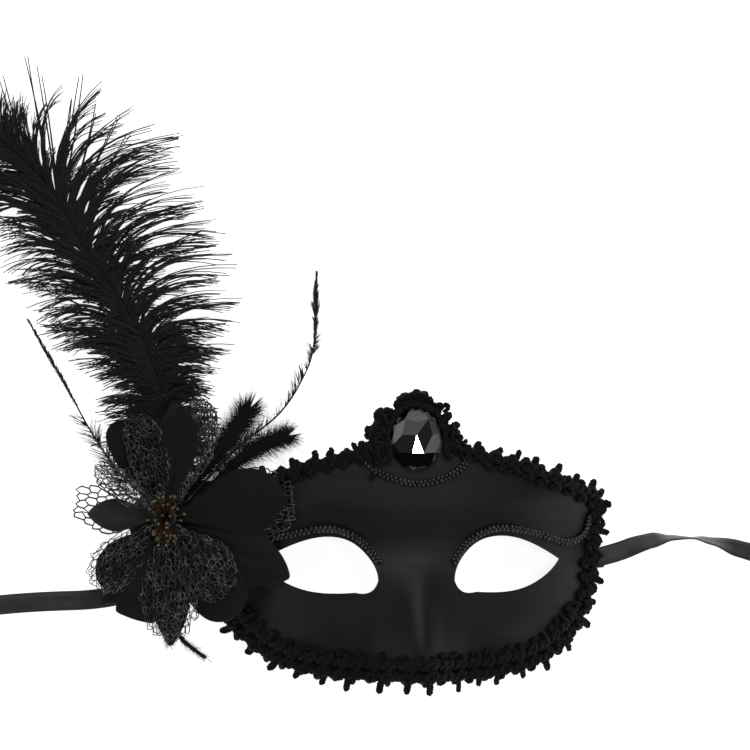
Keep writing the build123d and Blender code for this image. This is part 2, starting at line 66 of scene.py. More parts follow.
def node_tree(node):
    """A CAD node's surface, in millimetres, to cast rays on."""
    faces = [tuple(p.vertices) for p in NODES[node].data.polygons]
    return BVHTree.FromPolygons(node_points(node), faces)


SKY = 200.0  # rays start this far above the table
SHELL_MIDDLE = Vector((0, 8, 0))
SHELL_LEVEL = 12.0  # about the height of the shell's edge
STEP_INSIDE = 0.8  # from the nearest place of the shell to one that a ray surely hits
shell_tree = node_tree("mask_shell")


def above(tree, x, y):
    """The highest point of a surface over (x, y) with its normal, or None beside the surface."""
    place, normal, _, _ = tree.ray_cast(Vector((x, y, SKY)), -UP)
    return None if place is None else (place, normal)


def on_shell(x, y):
    """The shell's outer surface at (x, y), or at the nearest place of it."""
    hit = above(shell_tree, x, y)
    if hit is None:
        guess = shell_tree.find_nearest(Vector((x, y, SHELL_LEVEL)))[0]
        inward = (SHELL_MIDDLE - guess).normalized() * STEP_INSIDE
        hit = above(shell_tree, guess.x + inward.x, guess.y + inward.y) or (guess, UP)
    return hit


# ---- lines --------------------------------------------------------------------------------------
def smooth_line(points, step):
    """A smooth curve through the points, as points a step apart."""
    given = [Vector(p) for p in points]
    given = [2 * given[0] - given[1]] + given + [2 * given[-1] - given[-2]]
    fine = []
    for a, b, c, d in zip(given, given[1:], given[2:], given[3:]):
        pieces = max(2, round((c - b).length / step))
        for k in range(pieces):
            t = k / pieces
            bend = (2 * a - 5 * b + 4 * c - d) * t * t + (3 * b - a - 3 * c + d) * t**3
            fine.append(0.5 * (2 * b + (c - a) * t + bend))
    fine.append(given[-2])
    return evenly(fine, step)


def evenly(points, step):
    """The same line with points evenly a step apart, or slightly less."""
    lengths = [(b - a).length for a, b in zip(points, points[1:])]
    total = sum(lengths)
    count = max(1, math.ceil(total / step))
    result, k, walked = [], 0, 0.0
    for i in range(count + 1):
        target = total * i / count
        while k < len(lengths) - 1 and walked + lengths[k] < target:
            walked += lengths[k]
            k += 1
        share = (target - walked) / lengths[k] if lengths[k] else 0
        result.append(points[k].lerp(points[k + 1], min(max(share, 0), 1)))
    return result


def directions(points):
    """The direction of a line at each of its points."""
    ends = zip([points[0]] + points[:-1], points[1:] + [points[-1]])
    return [(b - a).normalized() for a, b in ends]


def sides_of(points, first=UP):
    """A direction square to the line at each point, turning as little as possible along it."""
    result = []
    side = first
    for along in directions(points):
        side = side - along * side.dot(along)
        side = side.normalized() if side.length > 1e-6 else along.orthogonal().normalized()
        result.append(side)
    return result


def blend(a, b, t):
    return a + (b - a) * t


def eased(t):
    """A share from 0 to 1 that starts and ends gently."""
    t = min(max(t, 0.0), 1.0)
    return t * t * (3 - 2 * t)


def between(stops, where):
    """The value at a place between stops of (place, value)."""
    for (a, low), (b, high) in zip(stops, stops[1:]):
        if where <= b:
            return blend(low, high, eased((where - a) / (b - a)))
    return stops[-1][1]


def bent(root, knee, tip, t):
    """A point of the curve that leaves its root toward the knee and ends at the tip."""
    return root * (1 - t) ** 2 + knee * (2 * t * (1 - t)) + tip * t * t


def heading(angle):
    """The level direction at this angle from +X."""
    return Vector((math.cos(angle), math.sin(angle), 0))


def at_least(point, height):
    """The point, lifted to this height where it is lower."""
    return Vector((point.x, point.y, max(point.z, height)))


# ---- building meshes ----------------------------------------------------------------------------
NAP = (0.82, 1.2)  # least and most of a napped cord's radius


class Shape:
    """Vertices and faces in millimetres, with a texture place (around, along) for each corner."""

    def __init__(self):
        self.points, self.faces, self.places = [], [], []

    def face(self, corner_ids, places):
        self.faces.append(corner_ids)
        self.places.append(places)

    def rings(self, rings, spots):
        """A closed tube through rings of points. Spots are the texture's places along it."""
        first, count = len(self.points), len(rings[0])
        for ring in rings:
            self.points.extend(ring)
        for i in range(len(rings) - 1):
            for k in range(count):
                a = first + i * count + k
                b = first + i * count + (k + 1) % count
                left, right = k / count, (k + 1) / count
                low, high = spots[i], spots[i + 1]
                places = ((left, low), (right, low), (right, high), (left, high))
                self.face((a, b, b + count, a + count), places)
        last = first + (len(rings) - 1) * count
        self.face(tuple(range(first, first + count))[::-1], ((0, spots[0]),) * count)
        self.face(tuple(range(last, last + count)), ((0, spots[-1]),) * count)

    def tube(self, line, radius, sides=8, lobes=0, depth=0.0, lay=6.0, taper=None, nap=None):
        """A round cord along a line, with twisted lobes, a taper or a rough nap if asked for."""
        walked, spots, rings = 0.0, [], []
        squares = sides_of(line)
        for i, (point, side, along) in enumerate(zip(line, squares, directions(line))):
            if i:
                walked += (point - line[i - 1]).length
            other = along.cross(side)
            size = radius * (taper(i / (len(line) - 1)) if taper else 1)
            ring = []
            for k in range(sides):
                angle = 2 * math.pi * k / sides
                groove = 0.5 - 0.5 * math.cos(lobes * (angle - 2 * math.pi * walked / lay))
                reach = size * (1 - depth * groove) * (nap.uniform(*NAP) if nap else 1)
                ring.append(point + (side * math.cos(angle) + other * math.sin(angle)) * reach)
            rings.append(ring)
            spots.append(walked)
        self.rings(rings, spots)

    def lathe(self, centre, axis, profile, sides=10):
        """A turned solid around an axis, from a profile of (along, radius) pairs."""
        side = axis.orthogonal().normalized()
        other = axis.cross(side)
        turns = [2 * math.pi * k / sides for k in range(sides)]
        spokes = [side * math.cos(a) + other * math.sin(a) for a in turns]
        rings = [[centre + axis * along + spoke * radius for spoke in spokes] for along, radius in profile]
        self.rings(rings, [along for along, _ in profile])

    def sheet(self, rows):
        """A net of quads through rows of points."""
        first, count = len(self.points), len(rows[0])
        for row in rows:
            self.points.extend(row)
        for i in range(len(rows) - 1):
            for k in range(count - 1):
                a = first + i * count + k
                spots = [(k, i), (k + 1, i), (k + 1, i + 1), (k, i + 1)]
                spots = [(u / (count - 1), v / (len(rows) - 1)) for u, v in spots]
                self.face((a, a + 1, a + count + 1, a + count), spots)

    def make(self, name, look, slot, replaces=(), smooth=True):
        """The shape as a piece of the model."""
        mesh = bpy.data.meshes.new(name)
        mesh.from_pydata([p * MM for p in self.points], [], self.faces)
        texture = mesh.uv_layers.new(name="thread")
        texture.data.foreach_set("uv", [x for face in self.places for spot in face for x in spot])
        mesh.polygons.foreach_set("use_smooth", [smooth] * len(mesh.polygons))
        mesh.materials.append(look)
        mesh.update()
        return make_piece(name, mesh, replaces)


def put_in_scene(name, data):
    """A new object in the scene."""
    made = bpy.data.objects.new(name, data)
    bpy.context.scene.collection.objects.link(made)
    return made


def make_piece(name, mesh, replaces=()):
    """A mesh as a piece that rides on the part's one body."""
    piece = put_in_scene(name, mesh)
    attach(piece, "root")
    if replaces:
        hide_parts(*replaces)
    return piece


def mesh_of(solid, name, look):
    """The mesh of an edited solid, which is freed."""
    mesh = bpy.data.meshes.new(name)
    solid.to_mesh(mesh)
    solid.free()
    mesh.materials.append(LOOKS[look])
    return mesh


def apply_modifiers(piece):
    """The piece's mesh as its modifiers leave it."""
    bpy.context.view_layer.update()
    shown = piece.evaluated_get(bpy.context.evaluated_depsgraph_get())
    mesh = bpy.data.meshes.new_from_object(shown)
    piece.modifiers.clear()
    piece.data = mesh


# ---- materials ----------------------------------------------------------------------------------
class Look:
    """A material whose nodes are added one call at a time."""

    def __init__(self, name, base, roughness, **sockets):
        self.material = bpy.data.materials.new(name)
        self.material.use_nodes = True
        self.tree = self.material.node_tree
        self.shader = self.tree.nodes["Principled BSDF"]
        self.set("Base Color", base)
        self.set("Roughness", roughness)
        for socket, value in sockets.items():
            self.set(socket.replace("_", " "), value)
        self.height = None

    def set(self, socket, value):
        if isinstance(value, tuple):
            value = (*value, 1.0)
        self.shader.inputs[socket].default_value = value

    def node(self, kind, **settings):
        made = self.tree.nodes.new(kind)
        for name, value in settings.items():
            setattr(made, name, value)
        return made

    def feed(self, socket, source):
        if isinstance(source, (int, float)):
            socket.default_value = source
        else:
            self.tree.links.new(source, socket)

    def places(self, scale=(1, 1, 1), kind="Object"):
        """Texture places: the object's own metres, or "thread" for (around, along) in millimetres."""
        if kind == "thread":
            source = self.node("ShaderNodeUVMap", uv_map="thread").outputs["UV"]
        else:
            source = self.node("ShaderNodeTexCoord").outputs[kind]
        mapping = self.node("ShaderNodeMapping")
        mapping.inputs["Scale"].default_value = scale
        self.feed(mapping.inputs["Vector"], source)
        return mapping.outputs["Vector"]

    def noise(self, scale, detail=3, rough=0.5, places=None):
        made = self.node("ShaderNodeTexNoise")
        self.feed(made.inputs["Vector"], places or self.places())
        self.feed(made.inputs["Scale"], scale)
        self.feed(made.inputs["Detail"], detail)
        self.feed(made.inputs["Roughness"], rough)
        return made.outputs["Fac"]

    def cells(self, scale, output="Color", places=None, feature="F1"):
        made = self.node("ShaderNodeTexVoronoi", feature=feature)
        self.feed(made.inputs["Vector"], places or self.places())
        self.feed(made.inputs["Scale"], scale)
        return made.outputs[output]

    def bands(self, scale, places, distort=0.0, direction="X"):
        made = self.node("ShaderNodeTexWave", bands_direction=direction)
        self.feed(made.inputs["Vector"], places)
        self.feed(made.inputs["Scale"], scale)
        self.feed(made.inputs["Distortion"], distort)
        return made.outputs["Fac"]

    def ramp(self, source, *stops):
        made = self.node("ShaderNodeValToRGB")
        elements = made.color_ramp.elements
        while len(elements) < len(stops):
            elements.new(0.5)
        for element, (where, colour) in zip(elements, stops):
            element.position = where
            element.color = (*colour, 1) if isinstance(colour, tuple) else (colour, colour, colour, 1)
        self.feed(made.inputs["Fac"], source)
        return made.outputs["Color"]

    def sum(self, a, b, operation="ADD"):
        made = self.node("ShaderNodeMath", operation=operation)
        self.feed(made.inputs[0], a)
        self.feed(made.inputs[1], b)
        return made.outputs["Value"]

    def colour(self, source):
        self.feed(self.shader.inputs["Base Color"], source)

    def rough(self, source, low, high):
        made = self.node("ShaderNodeMapRange")
        self.feed(made.inputs["Value"], source)
        self.feed(made.inputs["To Min"], low)
        self.feed(made.inputs["To Max"], high)
        self.feed(self.shader.inputs["Roughness"], made.outputs["Result"])

    def bump(self, source, strength, distance):
        """Relief of this many metres, on top of any relief that is there already."""
        made = self.node("ShaderNodeBump")
        self.feed(made.inputs["Height"], source)
        made.inputs["Strength"].default_value = strength
        made.inputs["Distance"].default_value = distance
        if self.height is not None:
            self.feed(made.inputs["Normal"], self.height)
        self.height = made.outputs["Normal"]
        self.feed(self.shader.inputs["Normal"], self.height)


def shell_look():
    """Moulded black plastic under matt paint: fine orange peel, soft patches and slight waves."""
    look = Look("shell_plastic", (0.010, 0.010, 0.0105), 0.5, Specular_IOR_Level=0.27)
    patches = look.noise(26, 4)
    look.colour(look.ramp(patches, (0.3, (0.0050, 0.0050, 0.0054)), (0.75, (0.0095, 0.0095, 0.0100))))
    look.rough(look.noise(140, 4), 0.40, 0.56)
    look.bump(look.noise(1300, 2), 0.25, 0.00005)
    look.bump(look.noise(60, 3), 0.20, 0.0003)
    return look.material


def thread_look(name, dark, light, sheen):
    """Twisted rayon thread: slanting yarns around the cord, each with a dull shine."""
    look = Look(name, light, 0.7, Specular_IOR_Level=0.2, Sheen_Weight=sheen)
    look.set("Sheen Roughness", 0.4)
    yarns = look.bands(2.0, look.places((1.0, 0.22, 1.0), "thread"), 0.6, "DIAGONAL")
    fuzz = look.noise(2600, 3)
    look.colour(look.ramp(look.sum(yarns, fuzz, "MULTIPLY"), (0.05, dark), (0.5, light)))
    look.rough(fuzz, 0.55, 0.85)
    look.bump(yarns, 0.7, 0.00022)
    look.bump(fuzz, 0.5, 0.00012)
    return look.material


def bead_look():
    """Black glass seed beads, each a little different."""
    look = Look("beaded_cord", (0.01, 0.01, 0.011), 0.25, Coat_Weight=0.35, Coat_Roughness=0.15)
    look.colour(look.ramp(look.cells(420), (0.2, 0.004), (0.9, (0.024, 0.024, 0.026))))
    look.rough(look.noise(900), 0.18, 0.42)
    look.bump(look.noise(1500, 2), 0.12, 0.00008)
    return look.material


def gem_look():
    """Smoky black glass over foil, bright and faintly scratched, with each facet's darkness a painted
    reflection.
    """
    look = Look("smoky_stone", (0.05, 0.05, 0.05), 0.05, Metallic=0.85, Coat_Weight=0.25)
    look.set("Coat Roughness", 0.02)
    # The facet attribute carries each facet's painted reflection: a lighter or darker base colour in place
    # of what the facet mirrors.
    painted_reflection = look.node("ShaderNodeAttribute", attribute_name="facet").outputs["Fac"]
    veil = look.sum(look.noise(170, 3), 0.04, "MULTIPLY")
    look.colour(look.ramp(look.sum(painted_reflection, veil), (0.0, 0.001), (0.5, 0.12), (1.0, 0.9)))
    look.rough(look.noise(500, 3), 0.02, 0.07)
    look.bump(look.noise(900, 2), 0.04, 0.00004)
    return look.material


def satin_look(name, dark, light, shine, bloom):
    """Stiffened black satin: a fine weave, long slubs and a soft bloom."""
    look = Look(name, light, 0.6, Specular_IOR_Level=shine, Sheen_Weight=bloom)
    look.set("Sheen Roughness", 0.5)
    slubs = look.noise(1, 4, 0.6, look.places((34, 3.5, 1), "thread"))
    look.colour(look.ramp(slubs, (0.25, dark), (0.8, light)))
    look.rough(slubs, 0.48, 0.68)
    weave = look.sum(look.bands(70, look.places((1, 1, 1), "thread")),
                     look.bands(110, look.places((1, 1, 1), "thread"), 0, "Y"))
    look.bump(weave, 0.25, 0.00006)
    look.bump(slubs, 0.35, 0.0002)
    return look.material


def net_look():
    """Black nylon net dusted with silver glitter."""
    look = Look("glitter_net", (0.03, 0.03, 0.032), 0.45, Specular_IOR_Level=0.5)
    flecks = look.cells(2600)
    worn = look.noise(210, 2)
    look.colour(look.ramp(look.sum(flecks, worn, "MULTIPLY"), (0.20, (0.014, 0.014, 0.015)),
                          (0.34, (0.060, 0.060, 0.063)), (0.46, (0.28, 0.28, 0.29))))
    look.rough(flecks, 0.25, 0.65)
    look.bump(flecks, 0.5, 0.0002)
    return look.material


def felt_look():
    """Matted black felt."""
    look = Look("felt", (0.006, 0.006, 0.0065), 0.95, Sheen_Weight=0.15, Sheen_Roughness=0.6)
    fibres = look.noise(900, 6, 0.75)
    look.colour(look.ramp(fibres, (0.3, 0.003), (0.75, 0.012)))
    look.bump(fibres, 0.8, 0.0004)
    look.rough(fibres, 0.85, 1.0)
    return look.material


def stamen_look():
    """Dull gold wire that darkens in patches."""
    look = Look("stamen_gold", (0.30, 0.14, 0.03), 0.4, Metallic=0.75)
    look.colour(look.ramp(look.noise(700, 3), (0.3, (0.020, 0.008, 0.002)), (0.7, (0.16, 0.065, 0.012))))
    look.rough(look.noise(1500), 0.3, 0.55)
    look.bump(look.noise(2600), 0.3, 0.0001)
    return look.material


def stamen_head_look():
    """Pearly bead tips with a green-gold cast."""
    look = Look("stamen_pearl", (0.06, 0.06, 0.03), 0.25, Coat_Weight=0.5, Coat_Roughness=0.12)
    look.colour(look.ramp(look.cells(600), (0.2, (0.038, 0.028, 0.006)), (0.8, (0.13, 0.115, 0.045))))
    look.rough(look.noise(1200), 0.15, 0.4)
    look.bump(look.noise(2400), 0.2, 0.0001)
    return look.material


def feather_look(name, dark, light):
    """Dyed feather: matt, in darker and lighter patches with a faint brown cast."""
    look = Look(name, light, 0.6, Specular_IOR_Level=0.24, Sheen_Weight=0.09)
    look.colour(look.ramp(look.noise(75, 4), (0.3, dark), (0.75, light)))
    look.rough(look.noise(900), 0.5, 0.75)
    look.bump(look.noise(3000, 2), 0.3, 0.00008)
    return look.material


def quill_look():
    """Horn-like shaft, glossier than the barbs, with lengthwise grain."""
    look = Look("quill", (0.012, 0.010, 0.009), 0.35, Coat_Weight=0.2)
    grain = look.noise(1, 4, 0.6, look.places((60, 1.2, 1), "thread"))
    look.colour(look.ramp(grain, (0.3, (0.006, 0.005, 0.005)), (0.8, (0.024, 0.020, 0.017))))
    look.rough(grain, 0.28, 0.5)
    look.bump(grain, 0.3, 0.00012)
    return look.material


def ribbon_look():
    """Black satin ribbon: fine warp lines and soft creases."""
    look = Look("ribbon_satin", (0.014, 0.014, 0.015), 0.42, Specular_IOR_Level=0.5, Sheen_Weight=0.2)
    warp = look.bands(26, look.places((1, 1, 1), "thread"), 0.2)
    cloud = look.noise(1, 4, 0.55, look.places((5, 0.28, 1), "thread"))
    look.colour(look.ramp(cloud, (0.3, (0.010, 0.010, 0.0105)), (0.8, (0.024, 0.024, 0.025))))
    look.rough(cloud, 0.34, 0.5)
    look.bump(warp, 0.35, 0.00008)
    look.bump(cloud, 0.3, 0.0004)
    return look.material


LOOKS = {
    "shell": shell_look(),
    "braid": thread_look("gimp_braid", (0.0012, 0.0012, 0.0013), (0.0065, 0.0065, 0.0068), 0.04),
    "core": thread_look("cord_core", (0.003, 0.003, 0.0032), (0.012, 0.012, 0.0125), 0.1),
    "bead": bead_look(),
    "gem": gem_look(),
    "satin": satin_look("petal_satin", (0.0035, 0.0035, 0.0038), (0.0090, 0.0090, 0.0093), 0.15, 0.08),
    # A lighter, shinier copy of the same satin, for the petals listed in the lighter-petal set.
    "satin_lighter": satin_look("petal_satin_lighter", (0.010, 0.010, 0.0105), (0.026, 0.026, 0.027), 0.3, 0.2),
    "net": net_look(),
    "felt": felt_look(),
    "stamen": stamen_look(),
    "pearl": stamen_head_look(),
    "barbs": feather_look("ostrich_barbs", (0.0035, 0.0033, 0.0033), (0.010, 0.0095, 0.009)),
    "down": feather_look("down", (0.004, 0.004, 0.004), (0.012, 0.0115, 0.011)),
    "quill": quill_look(),
    "ribbon": ribbon_look(),
}


def dress(node, look):
    """A CAD node whose shape is right keeps it and gets its material."""
    piece = NODES[node]
    piece.data.materials.clear()
    piece.data.materials.append(LOOKS[look])


# ---- ribbon ties --------------------------------------------------------------------------------
RIBBON_WIDTH = 9.0
RIBBON_THICK = 0.4
RIBBON_LENGTH = 400.0
RIBBON_STEP = 1.6
COIL_RADIUS = 48.0
COIL_POINTS = 16  # control points in a whole turn of the coil
COIL_LEVEL = 4.8  # middle of the ribbon where it stands on its edge
RIBBON_ACROSS = (-1, -0.5, 0, 0.5, 1)  # shares of half the width where its section has points
RIBBON_CUP = 0.35  # the ribbon is never quite flat across
CUP_LENGTH = 9.0
# The lines that the free ribbons follow, from the tab to the start of the coil.
RIBBON_LEFT_ROUTE = (
    (-90.5, 2.1, 1.15), (-104.0, -0.6, 1.15), (-117.0, -7.2, 0.8), (-131.0, -13.2, 0.6),
    (-146.0, -15.6, 0.6), (-162.0, -15.9, 0.6), (-178.0, -16.6, 0.6), (-194.0, -18.0, 0.6),
    (-210.0, -18.8, 0.6), (-226.0, -18.4, 0.6), (-241.0, -18.6, 0.6),
)
RIBBON_RIGHT_ROUTE = (
    (90.5, 2.1, 1.15), (101.0, 4.5, 1.4), (111.0, 8.7, 3.4), (122.0, 11.6, 4.6), (134.0, 12.0, 4.6),
    (146.0, 9.9, 3.4), (157.5, 6.5, 1.4), (171.0, 2.9, 0.6), (186.0, 0.4, 0.6), (202.0, -0.6, 0.6),
    (218.5, -0.9, 0.6),
)
# How far the ribbon leans from lying flat, in degrees, at distances along it from the tab.
LEFT_LEANS = ((0, 0), (28, 8), (60, 2), (100, 0), (130, 0), (156, 90), (400, 90))
RIGHT_LEANS = (
    (0, 0), (12, 12), (28, 42), (38, 78), (47, 88), (56, 70), (72, 28), (92, 4), (100, 0), (127, 90),
    (400, 90),
)


def spline_points(points):
    """Points along the smooth curve that these points control, in millimetres."""
    curve = bpy.data.curves.new("route", "CURVE")
    curve.dimensions = "3D"
    curve.resolution_u = 8
    spline = curve.splines.new("NURBS")
    spline.points.add(len(points) - 1)
    for knot, point in zip(spline.points, points):
        knot.co = (*(Vector(point) * MM), 1)
    spline.order_u = 3
    spline.use_endpoint_u = True
    holder = bpy.data.objects.new("route", curve)
    mesh = bpy.data.meshes.new_from_object(holder)
    line = [v.co / MM for v in mesh.vertices]
    bpy.data.objects.remove(holder)
    bpy.data.curves.remove(curve)
    bpy.data.meshes.remove(mesh)
    return line


def coil_route(route, coil_side):
    """The route with the turn of the coil added, standing on its edge beside the last run."""
    points = [Vector(p) for p in route]
    spent = sum((b - a).length for a, b in zip(points, points[1:]))
    run = points[-1] - points[-2]
    start_angle = math.atan2(run.y, run.x) - coil_side * math.pi / 2
    centre = points[-1] - heading(start_angle) * COIL_RADIUS
    turn = (RIBBON_LENGTH - spent) / COIL_RADIUS
    steps = math.ceil(turn / (2 * math.pi) * COIL_POINTS)
    for k in range(1, steps + 1):
        angle = start_angle + coil_side * turn * k / steps
        rim = heading(angle) * COIL_RADIUS
        points.append(Vector((centre.x, centre.y, COIL_LEVEL)) + rim)
    return points


def ribbon_tie(side_name, route, coil_side, leans):
    """A free ribbon that leans as it runs and ends in its coil."""
    line = evenly(spline_points(coil_route(route, coil_side)), RIBBON_STEP)
    shape, rings, spots, middles, walked = Shape(), [], [], [], 0.0
    for i, (point, along) in enumerate(zip(line, directions(line))):
        if i:
            walked += (point - line[i - 1]).length
        flat = UP.cross(along).normalized()
        lean = math.radians(between(leans, walked)) * coil_side
        across = flat * math.cos(lean) + along.cross(flat) * math.sin(lean)
        face = along.cross(across)
        half_drop = abs(across.z) * RIBBON_WIDTH / 2 + RIBBON_THICK
        centre = at_least(point, half_drop)
        cup = RIBBON_CUP * math.sin(walked / CUP_LENGTH)
        section = []
        for way in (1, -1):  # the upper side and back along the lower side
            for share in RIBBON_ACROSS:
                height = cup * (share * share - 0.5) + way * RIBBON_THICK / 2
                section.append(centre + across * way * share * RIBBON_WIDTH / 2 + face * height)
        rings.append(section)
        spots.append(walked)
        middles.append(centre * MM)
    shape.rings(rings, spots)
    replaced = (f"ribbon_{side_name}", f"ribbon_{side_name}_coil")
    piece = shape.make(f"tie_{side_name}", LOOKS["ribbon"], "ribbon_satin", replaced)


ribbon_tie("left", RIBBON_LEFT_ROUTE, 1, LEFT_LEANS)
ribbon_tie("right", RIBBON_RIGHT_ROUTE, -1, RIGHT_LEANS)

TAB_CUT = 6.0  # the tab's outer end is cut on the slant over this much of its length
TAB_DROP = 0.25  # the slanted corner is drawn up by this much
TAB_STEP = 1.5
TAB_RIPPLE = 0.12
RIPPLE_TURNS = (0.9, 0.31)  # radians for each millimetre of the two waves in the ripple


def strap(side_name, side):
    """The ribbon tab with its outer end cut on the slant and the slight ripple of folded satin."""
    node = f"ribbon_tab_{side_name}"
    low, high = corners(node)
    end = high.x if side > 0 else low.x
    cut = bmesh.new()
    cut.from_mesh(NODES[node].data)
    cut.transform(NODES[node].matrix_world)
    for k in range(1, int(abs(high.x - low.x) / TAB_STEP)):
        spot = Vector((end - side * k * TAB_STEP, 0, 0)) * MM
        everything = cut.verts[:] + cut.edges[:] + cut.faces[:]
        bmesh.ops.bisect_plane(cut, geom=everything, plane_co=spot, plane_no=(1, 0, 0))
    for vert in cut.verts:
        place = vert.co / MM
        depth = (high.y - place.y) / (high.y - low.y)  # 0 at the upper edge, 1 at the lower edge
        near_end = max(0.0, 1 - abs(end - place.x) / (2 * TAB_CUT))
        place.x -= side * TAB_CUT * near_end * depth ** 2
        place.y += TAB_DROP * near_end * depth
        place.z += TAB_RIPPLE * math.sin(place.x * RIPPLE_TURNS[0]) * math.sin(place.x * RIPPLE_TURNS[1])
        vert.co = place * MM
    mesh = mesh_of(cut, f"strap_{side_name}", "ribbon")
    thread = mesh.uv_layers.new(name="thread")
    for loop in mesh.loops:
        place = mesh.vertices[loop.vertex_index].co / MM
        thread.data[loop.index].uv = (place.x, (place.y - low.y) / (high.y - low.y))
    make_piece(f"strap_{side_name}", mesh, (node,))


strap("left", -1)
strap("right", 1)

# ---- shell --------------------------------------------------------------------------------------
dress("mask_shell", "shell")
dress("flower_backing", "felt")
dress("flower_stem", "felt")

# ---- edge of the shell --------------------------------------------------------------------------
EDGE_REACH = 110.0
EDGE_ANGLES = 720
EDGE_HALVINGS = 8


def edge_point(angle):
    """Where the shell's outline is in this direction from its middle, seen from the front."""
    away = heading(angle)
    inside = EDGE_REACH
    while above(shell_tree, *(SHELL_MIDDLE + away * inside).xy) is None:
        inside -= 1.0
    outside = inside + 1.0
    for _ in range(EDGE_HALVINGS):
        middle = (inside + outside) / 2
        if above(shell_tree, *(SHELL_MIDDLE + away * middle).xy) is None:
            outside = middle
        else:
            inside = middle
    return SHELL_MIDDLE + away * inside


# The outline, clockwise from the point of the crest.
edge = [edge_point(math.pi / 2 - 2 * math.pi * k / EDGE_ANGLES) for k in range(EDGE_ANGLES)]

BRAID_IN = 1.9  # the braid's middle is this far inside the outline
LEAST_UP = 0.35  # where the shell is steeper than this, the braid slopes no more
OUTER_FALL = 0.75  # share of the shell's slope that the braid keeps beyond its middle
BRAID_FLOOR = 1.0  # its cords' middles stay this high


class EdgeRun:
    """A length of the outline that the braid follows, with the shell's surface beside it."""

    def __init__(self, points):
        self.line = evenly(points, 1.0)
        ways = directions(self.line)
        self.ways = [sum(ways[max(0, k - 3):k + 4], Vector()).normalized() for k in range(len(ways))]
        self.length = (len(self.line) - 1) * (self.line[1] - self.line[0]).length

    def place(self, along, out, lift):
        """A point this far along the edge, out from the braid's middle and above the surface."""
        spot = min(max(along / self.length, 0), 1) * (len(self.line) - 1)
        k = min(int(spot), len(self.line) - 2)
        point = self.line[k].lerp(self.line[k + 1], spot - k)
        way = self.ways[k].lerp(self.ways[k + 1], spot - k).normalized()
        outward = Vector((-way.y, way.x, 0))
        point = point + way * (along - min(max(along, 0), self.length))
        base = point - outward * BRAID_IN
        surface, normal = on_shell(base.x, base.y)
        slope = -(normal.x * outward.x + normal.y * outward.y) / max(normal.z, LEAST_UP)
        if out < 0:
            inner = above(shell_tree, base.x + outward.x * out, base.y + outward.y * out)
            drop = inner[0].z - surface.z if inner else slope * out
        else:
            drop = slope * out * OUTER_FALL
        place = base + outward * out
        place.z = surface.z + drop
        return at_least(place + normal * lift, BRAID_FLOOR)


# ---- gimp braid ---------------------------------------------------------------------------------
BRAID_PITCH = 7.6  # from one scroll to the next
STRAND = 1.15  # radius of the chenille cord
PICOT_STRAND = 1.12
STRAND_STEP = 0.42
CORD_FOR_EDGE = 3.2  # millimetres of scrolling cord for each millimetre of edge
LOOP_BACK = 2.15  # how far a scroll runs back over itself
PICOT_POINTS = 14
chance = random.Random(7)


def wobble(where, seed, size):
    """A slow random-looking wave."""
    return size * (math.sin(where * 0.37 + seed) + math.sin(where * 0.83 + 2.3 * seed)) / 2


def chenille(shape, line, radius=STRAND):
    """A napped cord along a line."""
    shape.tube(line, radius, 9, 2, 0.18, 2.6, nap=chance)


def scroll_strand(run, middle, reach, phase, side, seed):
    """A cord that runs along the edge in loops, on one side of the braid and then over itself."""
    line = []
    steps = run.length * CORD_FOR_EDGE / STRAND_STEP
    for i in range(int(steps)):
        u = i / steps * run.length
        turn = 2 * math.pi * u / BRAID_PITCH + phase + wobble(u, seed, 0.7)
        along = u - LOOP_BACK * math.sin(turn)
        out = middle + side * (0.5 + (reach + wobble(u, seed + 1, 0.7)) * math.cos(turn))
        lift = 1.35 + 0.75 * math.sin(2 * turn + seed) + wobble(u, seed + 2, 0.3)
        line.append(run.place(along, out, lift))
    return evenly(line, STRAND_STEP)


def core_strand(run, middle, seed):
    """The cord that holds the scrolls together along the middle of the braid."""
    line = []
    for i in range(int(run.length / STRAND_STEP)):
        u = i * STRAND_STEP
        turn = 4 * math.pi * u / BRAID_PITCH
        out = middle + 1.2 * math.sin(turn) + wobble(u, seed, 0.4)
        line.append(run.place(u, out, 2.0 + 0.4 * math.cos(turn)))
    return evenly(line, STRAND_STEP)


def picot(run, where, out, length, spread, lean, lift=1.0):
    """A loop of cord that stands out from the braid and comes straight back."""
    line = []
    for k in range(PICOT_POINTS + 1):
        t = k / PICOT_POINTS
        round_end = math.sin(math.pi * t) ** 0.35
        along = where + spread * math.cos(math.pi * t) * (0.65 + 0.35 * round_end)
        along += math.copysign(lean * round_end, length)
        line.append(run.place(along, out + length * round_end, lift + 0.25 * math.cos(math.pi * t)))
    return smooth_line(line, STRAND_STEP)


BASE_STEP = 2.4


def braid_base(shape, run, inner, outer):
    """The narrow woven band under the scrolls."""
    rows, spots = [], []
    stations = max(2, int(run.length / BASE_STEP))
    outs = [blend(inner, outer, share) for share in (0, 0.33, 0.67, 1)]
    for i in range(stations + 1):
        u = run.length * i / stations
        spots.append(u)
        top = [run.place(u, out, 0.7) for out in outs]
        rows.append(top + [run.place(u, out, 0.08) for out in reversed(outs)])
    shape.rings(rows, spots)


# Distance of each row of scrolls out from the braid's middle, and how far they reach to both sides.
TOP_ROW = ((0.0, 2.9),)
SIDE_ROW = ((1.9, 3.1),)
LOWER_ROWS = ((1.5, 2.4), (-4.3, 2.5))  # the lower braid is laid double


PICOTS_IN = 9.0  # spacing of the small loops along the braid's inner side


